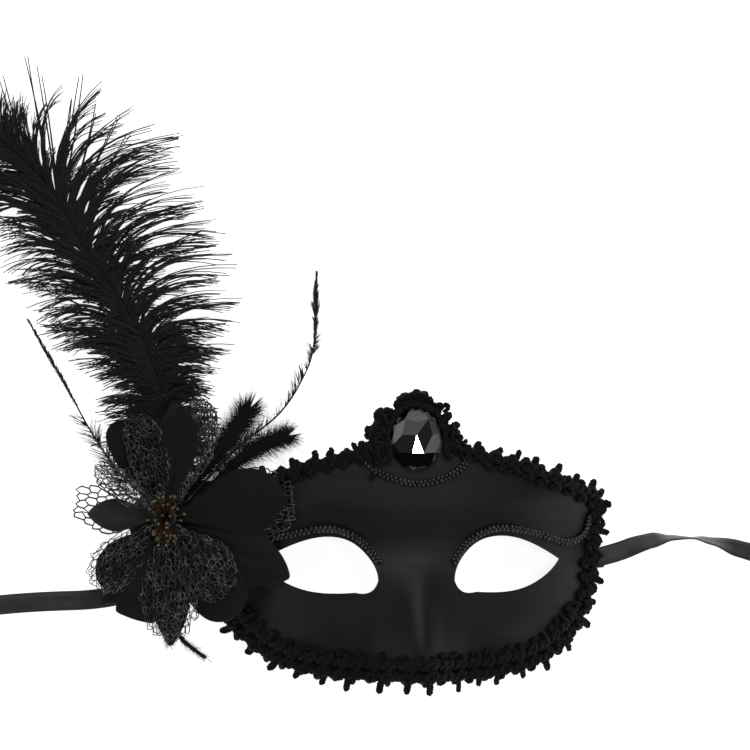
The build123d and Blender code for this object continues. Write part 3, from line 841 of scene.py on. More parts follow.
def edge_braid(place, test, rows, picots_out):
    """One length of gimp braid: a base band, looping cords, a core cord and its picots."""
    run = EdgeRun([p for p in edge if test(p)])
    shape = Shape()
    seed = chance.uniform(0, 6)
    inner_edge = rows[-1][0] - rows[-1][1]
    braid_base(shape, run, inner_edge - 0.2, rows[0][0] + 2.0)
    for number, (middle, reach) in enumerate(rows):
        for phase, side in ((0, 1), (math.pi, -1)):
            chenille(shape, scroll_strand(run, middle, reach, phase + number, side, seed + side))
        chenille(shape, core_strand(run, middle, seed + number))
    for spacing, way in ((picots_out, 1), (PICOTS_IN, -1)):
        count = max(1, round(run.length / spacing))
        for k in range(count):
            where = run.length * (k + 0.5) / count + chance.uniform(-2.4, 2.4)
            spread, lean = chance.uniform(0.4, 0.95), chance.uniform(-1.2, 1.2)
            if way > 0:
                loop = picot(run, where, rows[0][0] + 1.2, chance.uniform(3.8, 6.0), spread, lean)
            else:
                loop = picot(run, where, inner_edge, -chance.uniform(0.6, 2.2), 2 * spread, lean)
            chenille(shape, loop, PICOT_STRAND)
    shape.make(f"gimp_{place}", LOOKS["braid"], "gimp_braid", (f"edge_braid_{place}",))


CREST_HALF = corners("crest_braid")[1].x
SIDE_LOW, SIDE_HIGH = (corner.y for corner in corners("edge_braid_left_side"))
TOP_Y = 99.0


def at_side(side, low, high):
    """Whether a point of the outline is on this side and between these heights."""
    return lambda p: p.x * side > CREST_HALF and low <= p.y <= high


edge_braid("upper_right", at_side(1, SIDE_HIGH, TOP_Y), TOP_ROW, 9.5)
edge_braid("right_side", at_side(1, SIDE_LOW, SIDE_HIGH), SIDE_ROW, 11.0)
edge_braid("lower", lambda p: p.y < SIDE_LOW, LOWER_ROWS, 11.5)
edge_braid("left_side", at_side(-1, SIDE_LOW, SIDE_HIGH), SIDE_ROW, 11.0)
edge_braid("upper_left", at_side(-1, SIDE_HIGH, TOP_Y), TOP_ROW, 9.5)

# ---- stone --------------------------------------------------------------------------------------
gem_low, gem_high = corners("gem")
GEM_HALF = Vector(((gem_high.x - gem_low.x) / 2, (gem_high.y - gem_low.y) / 2, 0))
GEM_MIDDLE = (gem_low + gem_high) / 2
gem_seat, gem_up = on_shell(0, GEM_MIDDLE.y)
gem_up = Vector((0, gem_up.y, gem_up.z)).normalized()
gem_right = Vector((1, 0, 0))
gem_top = gem_up.cross(gem_right)
# Rings of corners: how many, share of the stone's half size, height, first angle in degrees.
GEM_RINGS = ((20, 1.0, -0.4, 9.0), (20, 1.0, 1.5, 9.0), (18, 0.90, 2.9, 10.0))
# Corners of the crown in shares of the half size, with their heights.
GEM_CROWN = (
    (-0.22, -0.47, 5.6), (0.22, -0.47, 5.6), (-0.70, -0.44, 4.3), (0.70, -0.44, 4.3), (-0.58, 0.12, 5.3),
    (0.58, 0.12, 5.3), (-0.44, 0.62, 4.7), (0.44, 0.62, 4.7), (0.0, 0.52, 5.7), (-0.05, 0.10, 6.8),
)
GEM_RIM = 0.93  # beyond this share the facets belong to the girdle
# Lowest and highest share across, lowest and highest share up, painted reflection brightness of the facets
# centred there.
GEM_PAINTED_REFLECTIONS = (
    (-1.0, -0.52, -0.1, 0.5, 1.0), (-0.52, -0.3, 0.1, 0.8, 0.0), (0.45, 1.0, -0.5, 0.1, 0.80),
    (0.45, 1.0, 0.1, 0.6, 0.60), (-1.0, 1.0, 0.60, 1.0, 0.85), (-0.4, 0.6, 0.3, 0.60, 0.0),
    (-1.0, 1.0, -1.0, -0.46, 0.008),
)
GEM_OTHER_PAINTED_REFLECTION = 0.30  # painted reflection brightness of the other facets of the crown
GEM_RIM_PAINTED_REFLECTIONS = (0.30, 0.05)  # painted reflection brightness of the girdle at the lower right, and elsewhere
GEM_WINDOW = (-0.22, 0.18, -0.42, -0.1)  # where the one facet lies that mirrors the card; it also gets the brightest painted reflection


def gem_corner(share_x, share_y, height):
    """A corner of the stone, in shares of its half size."""
    across = gem_right * share_x * GEM_HALF.x + gem_top * share_y * GEM_HALF.y
    return gem_seat + across + gem_up * height


def make_gem():
    """The faceted stone: the convex solid around its corners, each facet with its own painted reflection
    brightness.
    """
    solid = bmesh.new()
    for count, share, height, first in GEM_RINGS:
        for k in range(count):
            angle = math.radians(first) + 2 * math.pi * k / count
            solid.verts.new(gem_corner(share * math.cos(angle), share * math.sin(angle), height) * MM)
    for corner in GEM_CROWN:
        solid.verts.new(gem_corner(*corner) * MM)
    bmesh.ops.convex_hull(solid, input=solid.verts)
    bmesh.ops.recalc_face_normals(solid, faces=solid.faces)
    mesh = mesh_of(solid, "gem_cut", "gem")
    # Each facet's base colour is a painted reflection, set by where the facet lies on the stone.
    painted_reflections = mesh.attributes.new("facet", "FLOAT", "FACE")
    window = None
    for k, face in enumerate(mesh.polygons):
        place = face.center / MM - gem_seat
        right, top = place.dot(gem_right) / GEM_HALF.x, place.dot(gem_top) / GEM_HALF.y
        painted_reflection = GEM_OTHER_PAINTED_REFLECTION
        for left_end, right_end, low, high, painted_grey in GEM_PAINTED_REFLECTIONS:
            if left_end <= right < right_end and low <= top < high:
                painted_reflection = painted_grey
                break
        if math.hypot(right, top) > GEM_RIM:
            painted_reflection = GEM_RIM_PAINTED_REFLECTIONS[0 if right - top > 0.6 else 1]
        if GEM_WINDOW[0] < right < GEM_WINDOW[1] and GEM_WINDOW[2] < top < GEM_WINDOW[3]:
            painted_reflection, window = 1.0, k
        painted_reflections.data[k].value = painted_reflection
    make_piece("gem_cut", mesh, ("gem",))
    return mesh.polygons[window].center.copy(), mesh.polygons[window].normal.copy()


window_place, window_normal = make_gem()

# ---- crest braid --------------------------------------------------------------------------------
CREST_PITCH = 5.0
CREST_CORD = 4.2  # millimetres of cord for each millimetre around the stone
CREST_SWING = 0.13  # radians that a loop swings to both sides


def crest_place(angle, out, lift):
    """A point beside the stone: an angle around it, out from its edge and above the shell."""
    away = heading(angle)
    rim = Vector((away.x * (GEM_HALF.x + out), away.y * (GEM_HALF.y + out), 0))
    spot = Vector((0, GEM_MIDDLE.y, 0)) + rim
    surface, normal = on_shell(spot.x, spot.y)
    return Vector((spot.x, spot.y, surface.z)) + normal * lift


def crest_strand(first, last, out, reach, lift, seed):
    """A cord gathered into loops part of the way around the stone."""
    line = []
    arc = abs(last - first) * (GEM_HALF.x + GEM_HALF.y) / 2 * 1.2
    steps = int(arc * CREST_CORD / STRAND_STEP)
    for i in range(steps + 1):
        u = i / steps
        turn = 2 * math.pi * arc * u / CREST_PITCH + seed
        angle = blend(first, last, u) + CREST_SWING * math.sin(turn)
        swing = (reach + wobble(i * 0.1, seed, 0.7)) * math.cos(turn)
        line.append(crest_place(angle, out + swing, lift + 0.9 * math.sin(2 * turn + seed)))
    return evenly(line, STRAND_STEP)


def crest_loop(angle, out, length, spread):
    """A picot that stands out from the gathered braid."""
    line = []
    for k in range(PICOT_POINTS + 1):
        turn = math.pi * k / PICOT_POINTS
        round_end = math.sin(turn) ** 0.4
        line.append(crest_place(angle + spread * math.cos(turn), out + length * round_end, 1.6))
    return smooth_line(line, STRAND_STEP)


# First and last angle around the stone in degrees, distance out, reach of the loops, height.
CREST_STRANDS = (
    (209, -16, 2.6, 1.9, 1.3), (207, -19, 3.4, 2.3, 2.6), (211, 150, 5.6, 2.8, 1.6),
    (209, 150, 5.0, 3.0, 3.4), (203, 152, 7.4, 2.2, 2.2), (126, 64, 3.8, 2.2, 2.8),
    (120, 70, 4.8, 1.9, 1.4), (34, -20, 4.2, 1.9, 1.8), (2, -19, 7.0, 1.9, 1.6),
    (208, 192, 10.2, 2.0, 1.6), (198, 160, 8.8, 1.6, 1.4), (160, 206, 6.6, 1.5, 1.2),
    (204, 156, 8.0, 1.3, 3.2), (18, -17, 5.2, 1.7, 3.0), (110, 82, 6.0, 1.3, 2.0),
    (213, 200, 12.6, 1.6, 1.4),
)
# Angle, distance out, length and half spread in radians of each loop that stands out.
CREST_LOOPS = (
    (146, 5.4, 3.4, 0.06), (43, 4.6, 3.6, 0.06), (17, 5.6, 2.6, 0.04), (2, 6.2, 2.6, 0.04),
    (170, 9.6, 1.6, 0.04),
)
crest = Shape()
for number, (first, last, out, reach, lift) in enumerate(CREST_STRANDS):
    line = crest_strand(math.radians(first), math.radians(last), out, reach, lift, number * 1.7)
    chenille(crest, line)
for angle, out, length, spread in CREST_LOOPS:
    chenille(crest, crest_loop(math.radians(angle), out, length, spread), PICOT_STRAND)
crest.make("gimp_crest", LOOKS["braid"], "gimp_braid", ("crest_braid",))

# ---- beaded cords -------------------------------------------------------------------------------
EYE_CORD_LINE = ((16.6, 2.3), (26.0, 13.3), (40.0, 18.4), (59.5, 14.7), (72.0, 10.6), (81.5, 12.4))
EYE_CORD_CURL = ((85.2, 17.5), (86.6, 23.0))  # the right cord turns up along the braid at its end
LEFT_EYE_CORD_END = (66.5, 12.6)
GEM_CORD_LINE = ((-24.5, 50.0), (-16.0, 43.0), (0.5, 38.6), (17.0, 43.0), (25.0, 50.5))
BEAD_PITCH = 2.05
BEAD_RADIUS = 1.02
BEAD_HALF = ((0.38, 0.98), (0.72, 0.74), (0.80, 0.42))  # half of a bead's profile in shares of its radius
BEAD_PROFILE = tuple((-a, r) for a, r in BEAD_HALF[::-1]) + ((0, 1.04),) + BEAD_HALF
BEAD_OUT = 0.72  # from the cord's middle to a bead's
CORD_CORE = 0.7
CORD_LEVEL = 0.95  # middle of the core cord above the shell
CORD_STEP = 0.5


def beaded_cord(name, points):
    """Glass beads sewn in a zigzag on both sides of a twisted core cord."""
    flat = smooth_line([(x, y, 0) for x, y in points], CORD_STEP)
    line, normals = [], []
    for point in flat:
        surface, normal = on_shell(point.x, point.y)
        line.append(surface + normal * CORD_LEVEL)
        normals.append(normal)
    core, beads = Shape(), Shape()
    core.tube(line, CORD_CORE, 8, 2, 0.3, 2.4)
    ways = directions(line)
    count = int(len(line) * CORD_STEP / BEAD_PITCH * 2)
    for k in range(count):
        spot = int((k + 0.5) / count * len(line))
        centre, normal, way = line[spot], normals[spot], ways[spot]
        across = normal.cross(way).normalized() * (1 if k % 2 else -1)
        axis = (way + across * 0.75 + normal * chance.uniform(-0.25, 0.25)).normalized()
        size = BEAD_RADIUS * chance.uniform(0.88, 1.08)
        profile = [(a * size, r * size) for a, r in BEAD_PROFILE]
        middle = centre + across * BEAD_OUT + normal * chance.uniform(-0.05, 0.25)
        beads.lathe(middle, axis, profile)
    core.make(f"{name}_core", LOOKS["core"], "beaded_cord", (name,))
    beads.make(f"{name}_beads", LOOKS["bead"], "beaded_cord")


beaded_cord("gem_cord", GEM_CORD_LINE)
beaded_cord("eye_cord_right", EYE_CORD_LINE + EYE_CORD_CURL)
beaded_cord("eye_cord_left", [(-x, y) for x, y in EYE_CORD_LINE[:-2] + (LEFT_EYE_CORD_END,)])

# ---- flower -------------------------------------------------------------------------------------
stem_points = node_points("flower_stem")
stem_low, stem_high = corners("flower_stem")
FLOWER_TILT = math.radians(12)  # the flower's face leans to the left
CLOTH_FLOOR = 0.35  # petals stay this high above the table
flower_u = Vector((math.cos(FLOWER_TILT), 0, math.sin(FLOWER_TILT)))
flower_v = Vector((0, 1, 0))
flower_w = flower_u.cross(flower_v)
stem_middle = (stem_low + stem_high) / 2
stem_reach = [(p - stem_middle).dot(flower_w) for p in stem_points]
flower_foot = stem_middle + flower_w * min(stem_reach)
stem_top = max(stem_reach) - min(stem_reach)


def in_flower(u, v, w):
    """A point given across, up and out from the foot of the flower's stem."""
    return at_least(flower_foot + flower_u * u + flower_v * v + flower_w * w, CLOTH_FLOOR)


WIDEST = 0.62  # share of a petal's length where it is widest
ROOT_WIDTH = 0.13  # share of its width at the root


class Petal:
    """The cut and the place of a petal, read from its CAD node."""

    def __init__(self, node):
        local = []
        for point in node_points(node):
            away = point - flower_foot
            local.append((away.dot(flower_u), away.dot(flower_v), away.dot(flower_w)))
        tip = max(local, key=lambda p: math.hypot(p[0], p[1]))
        self.angle = math.atan2(tip[1], tip[0])
        self.length = math.hypot(tip[0], tip[1])
        turned = [(-u * math.sin(self.angle) + v * math.cos(self.angle)) for u, v, _ in local]
        self.half = max(abs(across) for across in turned)
        near = min(local, key=lambda p: math.hypot(p[0], p[1]))
        self.root = math.hypot(near[0], near[1])
        self.base = near[2]
        self.rise = (tip[2] - near[2]) / (self.length - self.root)

    def half_width(self, share, square, blunt=0.5):
        """Half the petal's width at a share of its length. The higher blunt is, the more pointed."""
        rise = eased(share / WIDEST) ** 0.9
        beyond = max(share - WIDEST, 0.0) / (1 - WIDEST)
        fall = max(0.0, 1 - beyond ** square) ** blunt
        return blend(ROOT_WIDTH, 1, rise) * fall * self.half

    def point(self, share, across, lift):
        """A point at a share of the length, this far across and above the CAD petal."""
        along = blend(self.root, self.length, share)
        u = along * math.cos(self.angle) - across * math.sin(self.angle)
        v = along * math.sin(self.angle) + across * math.cos(self.angle)
        return in_flower(u, v, self.base + self.rise * (along - self.root) + lift)


PETAL_ROWS = 28
PETAL_COLUMNS = 17
SATIN_THICK = 0.45
# Petal: square and blunt say how its tip is cut, then cup of the edges, curl of the tip, crease along
# the middle and ripple.
SATIN_SHAPES = {
    "bottom_middle": (1.8, 0.9, 0.8, -1.2, 1.2, 0.7),
    "upper_left": (4.0, 0.5, 1.3, 1.2, 1.1, 0.7),
    "lower_outer": (2.4, 0.55, 0.6, -1.0, 1.0, 0.7),
    "lower_right": (1.7, 0.75, -2.0, -1.5, 1.5, 0.8),
    "left": (1.8, 0.8, -1.4, 1.0, 0.9, 0.5),
    "right": (2.2, 0.5, -2.4, -1.8, 0.8, 0.8),
    "lower_inner": (3.0, 0.5, -1.6, -1.4, 1.1, 0.8),
    "top": (1.8, 0.6, -1.8, 1.5, 1.3, 0.5),
    "bottom_left": (9.0, 0.10, -1.2, -1.0, 1.0, 0.6),
}


CREASE_HALF = 1.6  # half the width of the crease along a petal's middle


def petal_lift(shape, share, side, width, seed):
    """How far a petal's cloth stands above its flat cut."""
    _, _, cup, curl, crease, ripple = shape
    edge_rise = cup * side * side * eased(share / 0.4)
    tip_rise = curl * eased((share - 0.55) / 0.45)
    fold = -crease * math.exp(-((side * width) / CREASE_HALF) ** 2)
    fold *= math.sin(math.pi * min(share * 1.2, 1)) ** 0.5
    wave = ripple * side * math.sin(9 * share + seed) * share
    pleats = 0.55 * math.cos(8 * side + seed) * (1 - eased(share / 0.55))
    return edge_rise + tip_rise + fold + wave + pleats


LIGHTER_PETALS = ("left",)  # petals given a lighter copy of the satin, with more shine and sheen


def cut_area(petal, square, blunt=0.5):
    """The flat area of a petal's cut, in square millimetres."""
    steps = 40
    widths = [2 * petal.half_width((k + 0.5) / steps, square, blunt) for k in range(steps)]
    return sum(widths) / steps * (petal.length - petal.root)


def satin_petal(name, shape, seed):
    """A stiffened satin petal: pleated at the stem, creased along the middle and cupped."""
    node = f"satin_petal_{name}"
    petal = Petal(node)
    rows = []
    for i in range(PETAL_ROWS + 1):
        share = 1 - (1 - i / PETAL_ROWS) ** 1.35
        width = max(petal.half_width(share, *shape[:2]), 0.12)
        row = []
        for k in range(PETAL_COLUMNS):
            side = math.sin(math.pi / 2 * (2 * k / (PETAL_COLUMNS - 1) - 1))
            row.append(petal.point(share, side * width, petal_lift(shape, share, side, width, seed)))
        rows.append(row)
    cloth = Shape()
    cloth.sheet(rows)
    look = LOOKS["satin_lighter"] if name in LIGHTER_PETALS else LOOKS["satin"]
    piece = cloth.make(f"satin_{name}", look, "petal_satin", (node,))
    wall = piece.modifiers.new("thickness", "SOLIDIFY")
    wall.thickness = SATIN_THICK * MM
    wall.offset = 0
    smooth = piece.modifiers.new("smooth", "SUBSURF")
    smooth.levels = smooth.render_levels = 1
    apply_modifiers(piece)
    cut_area(petal, *shape[:2]) * MM * MM


for number, (name, shape) in enumerate(SATIN_SHAPES.items()):
    satin_petal(name, shape, number * 1.3)

HOLE_STRETCH = 1.8  # the net's holes are longer than wide
NET_SQUARE = 2.4  # how square the tips of the net petals are cut
LAYER_GAP = 0.55  # from one layer of net to the next
NET_JITTER = (0.16, 0.10)  # spread of a hole's corners along and across, in shares of its width
FOLD_WAY = 1.25  # radians of fold for each millimetre across
# Petal: width of the net's holes, strand, layers of net, cup, ruffle and lift of the cloth, how far its
# threads bunch into folds.
NET_SHAPES = {
    "left": (3.3, 0.85, 1, 0.6, 1.0, 0.3, 0.15),
    "top": (2.0, 0.95, 2, 0.8, 1.4, 0.2, 0.4),
    "right": (2.2, 0.62, 1, -2.0, 0.5, -0.7, 0.5),
    "lower_outer": (2.3, 0.52, 2, 0.5, 0.7, 0.9, 0.55),
    "upper_inner": (2.2, 0.52, 2, 0.4, 0.7, 0.3, 0.6),
    "lower_right": (2.3, 0.52, 2, 0.4, 1.0, 1.0, 0.65),
    "upper_outer": (1.7, 0.60, 2, 1.0, 1.6, 0.6, 0.6),
    "bottom": (2.3, 0.52, 2, 0.4, 1.1, 1.0, 0.65),
}


def net_petal(name, hole, strand, layers, cup, ruffle, raised, bunch, seed):
    """A petal of glitter net: six-sided holes, cut to the petal's outline and gathered at the stem."""
    node = f"net_petal_{name}"
    petal = Petal(node)
    cloth = bmesh.new()
    row_pitch = hole * 0.75 * HOLE_STRETCH
    long = petal.length - petal.root
    dice = random.Random(int(seed * 10) + 3)
    for layer in range(layers):
        made = {}
        shift = layer * 0.41 * hole
        turned = layer * 0.16
        for j in range(-1, int(long / row_pitch) + 3):
            for k in range(-int(petal.half / hole) - 4, int(petal.half / hole) + 5):
                flat = (j * row_pitch + shift, (k + 0.5 * (j % 2)) * hole * 0.9 + shift)
                centre = (flat[0] - turned * flat[1], flat[1] + turned * (flat[0] - long / 2))
                share = centre[0] / long
                if not 0.02 < share < 1.0 or abs(centre[1]) > petal.half_width(share, NET_SQUARE):
                    continue
                corner_ids = []
                for turn in range(6):
                    angle = math.pi / 3 * turn
                    step = (round(2 * math.cos(angle)), round(1.2 * math.sin(angle)))
                    key = (3 * j + step[0], 2 * k + j % 2 + step[1])
                    if key not in made:  # neighbouring holes share their corners
                        across = flat[1] + hole * (0.52 * math.sin(angle) + dice.gauss(0, NET_JITTER[1]))
                        reach = 0.5 * HOLE_STRETCH * math.cos(angle) + dice.gauss(0, NET_JITTER[0])
                        along = flat[0] + hole * reach - turned * across
                        across += turned * (along - long / 2)
                        fold = FOLD_WAY * across + 2.2 * layer + seed + 0.06 * along
                        across += bunch * math.sin(fold)
                        spot = min(max(along / long, 0), 1.04)
                        width = max(petal.half_width(min(spot, 0.97), NET_SQUARE), 1)
                        side = across / width
                        waves = ruffle * math.sin(7 * spot + seed + 3 * side)
                        lift = raised + (cup * side * side + waves) * spot
                        lift += LAYER_GAP * layer + bunch * math.cos(fold)
                        made[key] = cloth.verts.new(petal.point(spot, across, lift) * MM)
                    corner_ids.append(made[key])
                corner_ids = list(dict.fromkeys(corner_ids))
                if len(corner_ids) > 2 and cloth.faces.get(corner_ids) is None:
                    cloth.faces.new(corner_ids)
    piece = make_piece(f"net_{name}", mesh_of(cloth, f"net_{name}", "net"), (node,))
    strands = piece.modifiers.new("strands", "WIREFRAME")
    strands.thickness = strand * MM
    strands.use_replace = True
    strands.use_boundary = True
    strands.use_even_offset = False
    apply_modifiers(piece)
    flat = (2 * petal.half * MM, long * MM)


for number, (name, shape) in enumerate(NET_SHAPES.items()):
    net_petal(name, *shape, number * 2.1)

# ---- stamens ------------------------------------------------------------------------------------
STAMEN_COUNT = 46
STAMEN_WIRE = 0.26
STAMEN_SPREAD = Vector((7.5, 14.0, 0))  # half size of the tuft
GOLDEN_TURN = 2.399963
PEARL_PROFILE = ((-0.9, 0.25), (-0.62, 0.72), (0, 1.0), (0.62, 0.74), (0.95, 0.2))


def make_stamens():
    """A tuft of bent gold wires with pearl tips, longer up and down the flower than across."""
    wires, pearls = Shape(), Shape()
    for k in range(STAMEN_COUNT):
        turn = GOLDEN_TURN * k
        share = math.sqrt((k + 0.5) / STAMEN_COUNT)
        reach = heading(turn) * STAMEN_SPREAD * share
        reach += Vector((chance.gauss(0, 1.1), chance.gauss(0, 1.3), 0))
        height = stem_top + 5.0 + 3.0 * (1 - share) + chance.uniform(-1.8, 1.5)
        foot = in_flower(reach.x * 0.2, reach.y * 0.2, stem_top - 0.4)
        bend = in_flower(reach.x * 0.45, reach.y * 0.45, stem_top + 4.0)
        head = in_flower(reach.x, reach.y, height)
        line = smooth_line((foot, bend, head), 0.7)
        wires.tube(line, STAMEN_WIRE, 6)
        axis = (line[-1] - line[-2]).normalized()
        size = chance.uniform(0.68, 0.92)
        pearls.lathe(head, axis, [(a * size, r * size) for a, r in PEARL_PROFILE], 8)
    wires.make("stamen_wires", LOOKS["stamen"], "stamen_gold", ("stamens",))
    pearls.make("stamen_pearls", LOOKS["pearl"], "stamen_gold")


make_stamens()

# ---- feathers -----------------------------------------------------------------------------------
PLUME_QUILL_LINE = (
    (-112.0, 30.0), (-113.0, 74.0), (-127.0, 111.0), (-150.0, 146.0), (-166.0, 174.0), (-186.0, 193.0),
    (-203.0, 199.0),
)
LEFT_SPRAY_LINE = ((-117.0, 28.0), (-133.5, 43.0), (-147.0, 63.0), (-158.5, 84.0), (-176.0, 114.0))
RIGHT_SPRAY_LINE = (
    (-103.5, 29.5), (-82.0, 53.0), (-61.5, 70.5), (-50.5, 87.5), (-45.5, 103.0), (-43.5, 136.0),
)
vane_tree = node_tree("plume_vane")
BARB_SECTIONS = 9
QUILL_LEVEL = 8.0  # about the height of the quills


def feather_level(tree, x, y):
    """The height of a feather's surface at (x, y), or at the nearest place of it."""
    hit = above(tree, x, y) or tree.find_nearest(Vector((x, y, QUILL_LEVEL)))
    return hit[0].z


def quill_line(points, tree, step=1.5):
    """A quill's line lifted on to its feather's surface."""
    line = smooth_line([(x, y, QUILL_LEVEL) for x, y in points], step)
    return [Vector((p.x, p.y, feather_level(tree, p.x, p.y))) for p in line]


def on_quill(line, share):
    """The place and the direction of a quill at a share of its length."""
    spot = share * (len(line) - 1)
    k = min(int(spot), len(line) - 2)
    return line[k].lerp(line[k + 1], spot - k), (line[k + 1] - line[k]).normalized()


def off_quill(along, side, angle):
    """The level direction that leaves a quill to one side at an angle."""
    out = Vector((along.y, -along.x, 0)) * side
    return along * math.cos(angle) + out * math.sin(angle)


def make_shaft(name, node, line, radius, narrowing, sides=8):
    """A feather's quill, narrower toward its tip."""
    quill = Shape()
    quill.tube(line, radius, sides, taper=lambda t: 1 - narrowing * t)
    quill.make(f"{name}_shaft", LOOKS["quill"], "quill", (node,))


def barb(shape, root, knee, tip, thick, sections=BARB_SECTIONS, end=0.25):
    """One barb: a thin three-sided filament that bends from its root over a knee to its tip."""
    line = [bent(root, knee, tip, k / sections) for k in range(sections + 1)]
    shape.tube(line, thick, 3, taper=lambda t: 1 - (1 - end) * t)


def barb_reach(root, angle):
    """How far the plume's leaf reaches from a point of the quill in a direction."""
    away = heading(angle)
    reach = 3.0
    while above(vane_tree, root.x + away.x * reach, root.y + away.y * reach) and reach < 90:
        reach += 2.0
    return reach


# At shares of the quill's length: the way that its barbs go, in degrees from +X.
RIGHT_WAYS = (
    (0.0, 26), (0.2, 24), (0.35, 24), (0.5, 33), (0.65, 46), (0.735, 66), (0.765, 99), (0.9, 108),
    (1.0, 120),
)
LEFT_WAYS = ((0.0, 158), (0.25, 165), (0.45, 166), (0.65, 164), (0.8, 168), (0.93, 175), (1.0, 150))
# How much of the leaf's width the barbs reach on each side, and the least that they reach near the base.
RIGHT_SHARES = ((0.0, 1.0), (0.2, 1.0), (0.35, 0.93), (0.55, 0.94), (0.72, 0.95), (0.78, 0.74), (1.0, 0.7))
LEFT_SHARES = ((0.0, 1.0), (1.0, 1.0))
RIGHT_LEAST = ((0.0, 22.0), (0.12, 29.0), (0.3, 24.0), (0.4, 3.0), (1.0, 3.0))
LEFT_LEAST = ((0.0, 30.0), (0.12, 35.0), (0.3, 27.0), (0.4, 3.0), (1.0, 3.0))
PLUME_SIDES = (
    ("right", RIGHT_WAYS, RIGHT_SHARES, RIGHT_LEAST),
    ("left", LEFT_WAYS, LEFT_SHARES, LEFT_LEAST),
)
# Long single barbs that stand up near the tip: share of the quill, way in degrees, length.
LONG_BARBS = (
    (0.765, 101, 64), (0.745, 99, 61), (0.735, 82, 62), (0.73, 85, 52), (0.70, 77, 53), (0.69, 66, 57),
    (0.86, 106, 40), (0.9, 112, 40), (0.68, 57, 50),
)
LONG_BARB = 0.62  # its thickness
PLUME_FIRST = 0.03  # barbs start at this share of the quill
WISPS = 118
BARBS_IN_WISP = 7
BARB_FLOOR = 0.5  # tips stay this high above the table
FULL_BASE = 0.34  # below this share of the quill the leaf is twice as dense


def plume_wisp(shape, fuzz, line, share, ways, shares, least, dice, shorter):
    """A lock of barbs that leave the quill together and cling into a point, or part at their tips."""
    root, along = on_quill(line, share)
    way = math.radians(between(ways, share) + dice.gauss(0, 6.5))
    leaf = max(barb_reach(root, way) * between(shares, share), between(least, share))
    reach = leaf * dice.choice((0.62, 0.78, 0.88, 0.95, 1.0, 1.04, 1.08)) * shorter
    away = heading(way)
    tip = root + away * reach
    tip.z = max(root.z + dice.uniform(-6.0, 2.5), 0.8)
    lean = dice.uniform(0.28, 0.48)
    knee = root + along * reach * lean + away * reach * dice.uniform(0.22, 0.36)
    knee.z = root.z + dice.uniform(-1.5, 5.5)
    across = Vector((-away.y, away.x, 0))
    parted = dice.choice((0.4, 0.6, 0.9, 1.6))
    thick = dice.uniform(0.34, 0.52)
    for _ in range(BARBS_IN_WISP):
        start = root + along * dice.uniform(-1.8, 1.8) + UP * dice.uniform(-0.4, 0.5)
        own_tip = root + (tip - root) * dice.uniform(0.76, 1.03)
        own_tip += across * dice.gauss(0, parted) + UP * dice.gauss(0, 0.8)
        own_tip = at_least(own_tip, BARB_FLOOR)
        own_knee = knee + across * dice.gauss(0, 1.0) + UP * dice.gauss(0, 0.9)
        barb(shape, start, own_knee, own_tip, thick, end=0.45)
        barbules(fuzz, start, own_knee, own_tip, dice)


BARBULES = 9
BARBULE_LENGTH = 1.6


def barbules(shape, root, knee, tip, dice):
    """Short hairs along the outer part of a barb."""
    for _ in range(BARBULES):
        t = dice.uniform(0.12, 0.93)
        place = bent(root, knee, tip, t)
        along = ((knee - root) * (1 - t) + (tip - knee) * t).normalized()
        side = along.cross(UP).normalized() * dice.choice((-1, 1))
        away = (along * 0.8 + side * dice.uniform(0.3, 0.9) + UP * dice.uniform(-0.5, 0.5)).normalized()
        hair_tip = place + away * BARBULE_LENGTH * dice.uniform(0.6, 1.3) * (1.1 - 0.5 * t)
        spike(shape, place, hair_tip, 0.10)


def spike(shape, foot, tip, thick):
    """A hair as a closed three-sided point."""
    away = (tip - foot).normalized()
    side = away.orthogonal().normalized()
    other = away.cross(side)
    first = len(shape.points)
    for k in range(3):
        angle = 2 * math.pi * k / 3
        shape.points.append(foot + (side * math.cos(angle) + other * math.sin(angle)) * thick)
    shape.points.append(tip)
    spots = ((0, 0), (1, 0), (0.5, 1))
    shape.face((first + 2, first + 1, first), spots)
    for k in range(3):
        shape.face((first + k, first + (k + 1) % 3, first + 3), spots)


def long_barbs(shape, fuzz, line, dice):
    """Pairs of long barbs that stand out above the leaf near the plume's tip."""
    for share, way, length in LONG_BARBS:
        root = line[int(share * (len(line) - 1))]
        for _ in range(2):
            angle = math.radians(way + dice.gauss(0, 1.2))
            tip = root + heading(angle) * length * dice.uniform(0.93, 1.03)
            knee = root.lerp(tip, 0.5) + Vector((dice.uniform(-2, 2), 0, 3))
            barb(shape, root, knee, tip, LONG_BARB, end=0.4)
            barbules(fuzz, root, knee, tip, dice)


def make_plume():
    """The ostrich plume: its shaft, and on each side locks of barbs with barbules."""
    dice = random.Random(21)
    line = quill_line(PLUME_QUILL_LINE, vane_tree)
    make_shaft("plume", "plume_quill", line, 0.85, 0.75)
    for name, ways, shares, least in PLUME_SIDES:
        barbs, fuzz = Shape(), Shape()
        for k in range(WISPS):
            share = PLUME_FIRST + (1 - PLUME_FIRST) * (k + dice.uniform(-0.5, 0.5)) / (WISPS - 1)
            share = min(max(share, PLUME_FIRST), 1.0)
            for shorter in (1.0, 0.45, 0.75, 0.6)[:4 if share < FULL_BASE else 2]:
                plume_wisp(barbs, fuzz, line, share, ways, shares, least, dice, shorter)
        if name == "right":
            long_barbs(barbs, fuzz, line, dice)
        barbs.make(f"plume_barbs_{name}", LOOKS["barbs"], "ostrich_barbs", ("plume_vane",))
        fuzz.make(f"plume_barbules_{name}", LOOKS["barbs"], "ostrich_barbs", smooth=False)


make_plume()


LEAF_BARBS = 420
TUFT_BARBS = 36
SHORT_BARB = 0.2  # its thickness


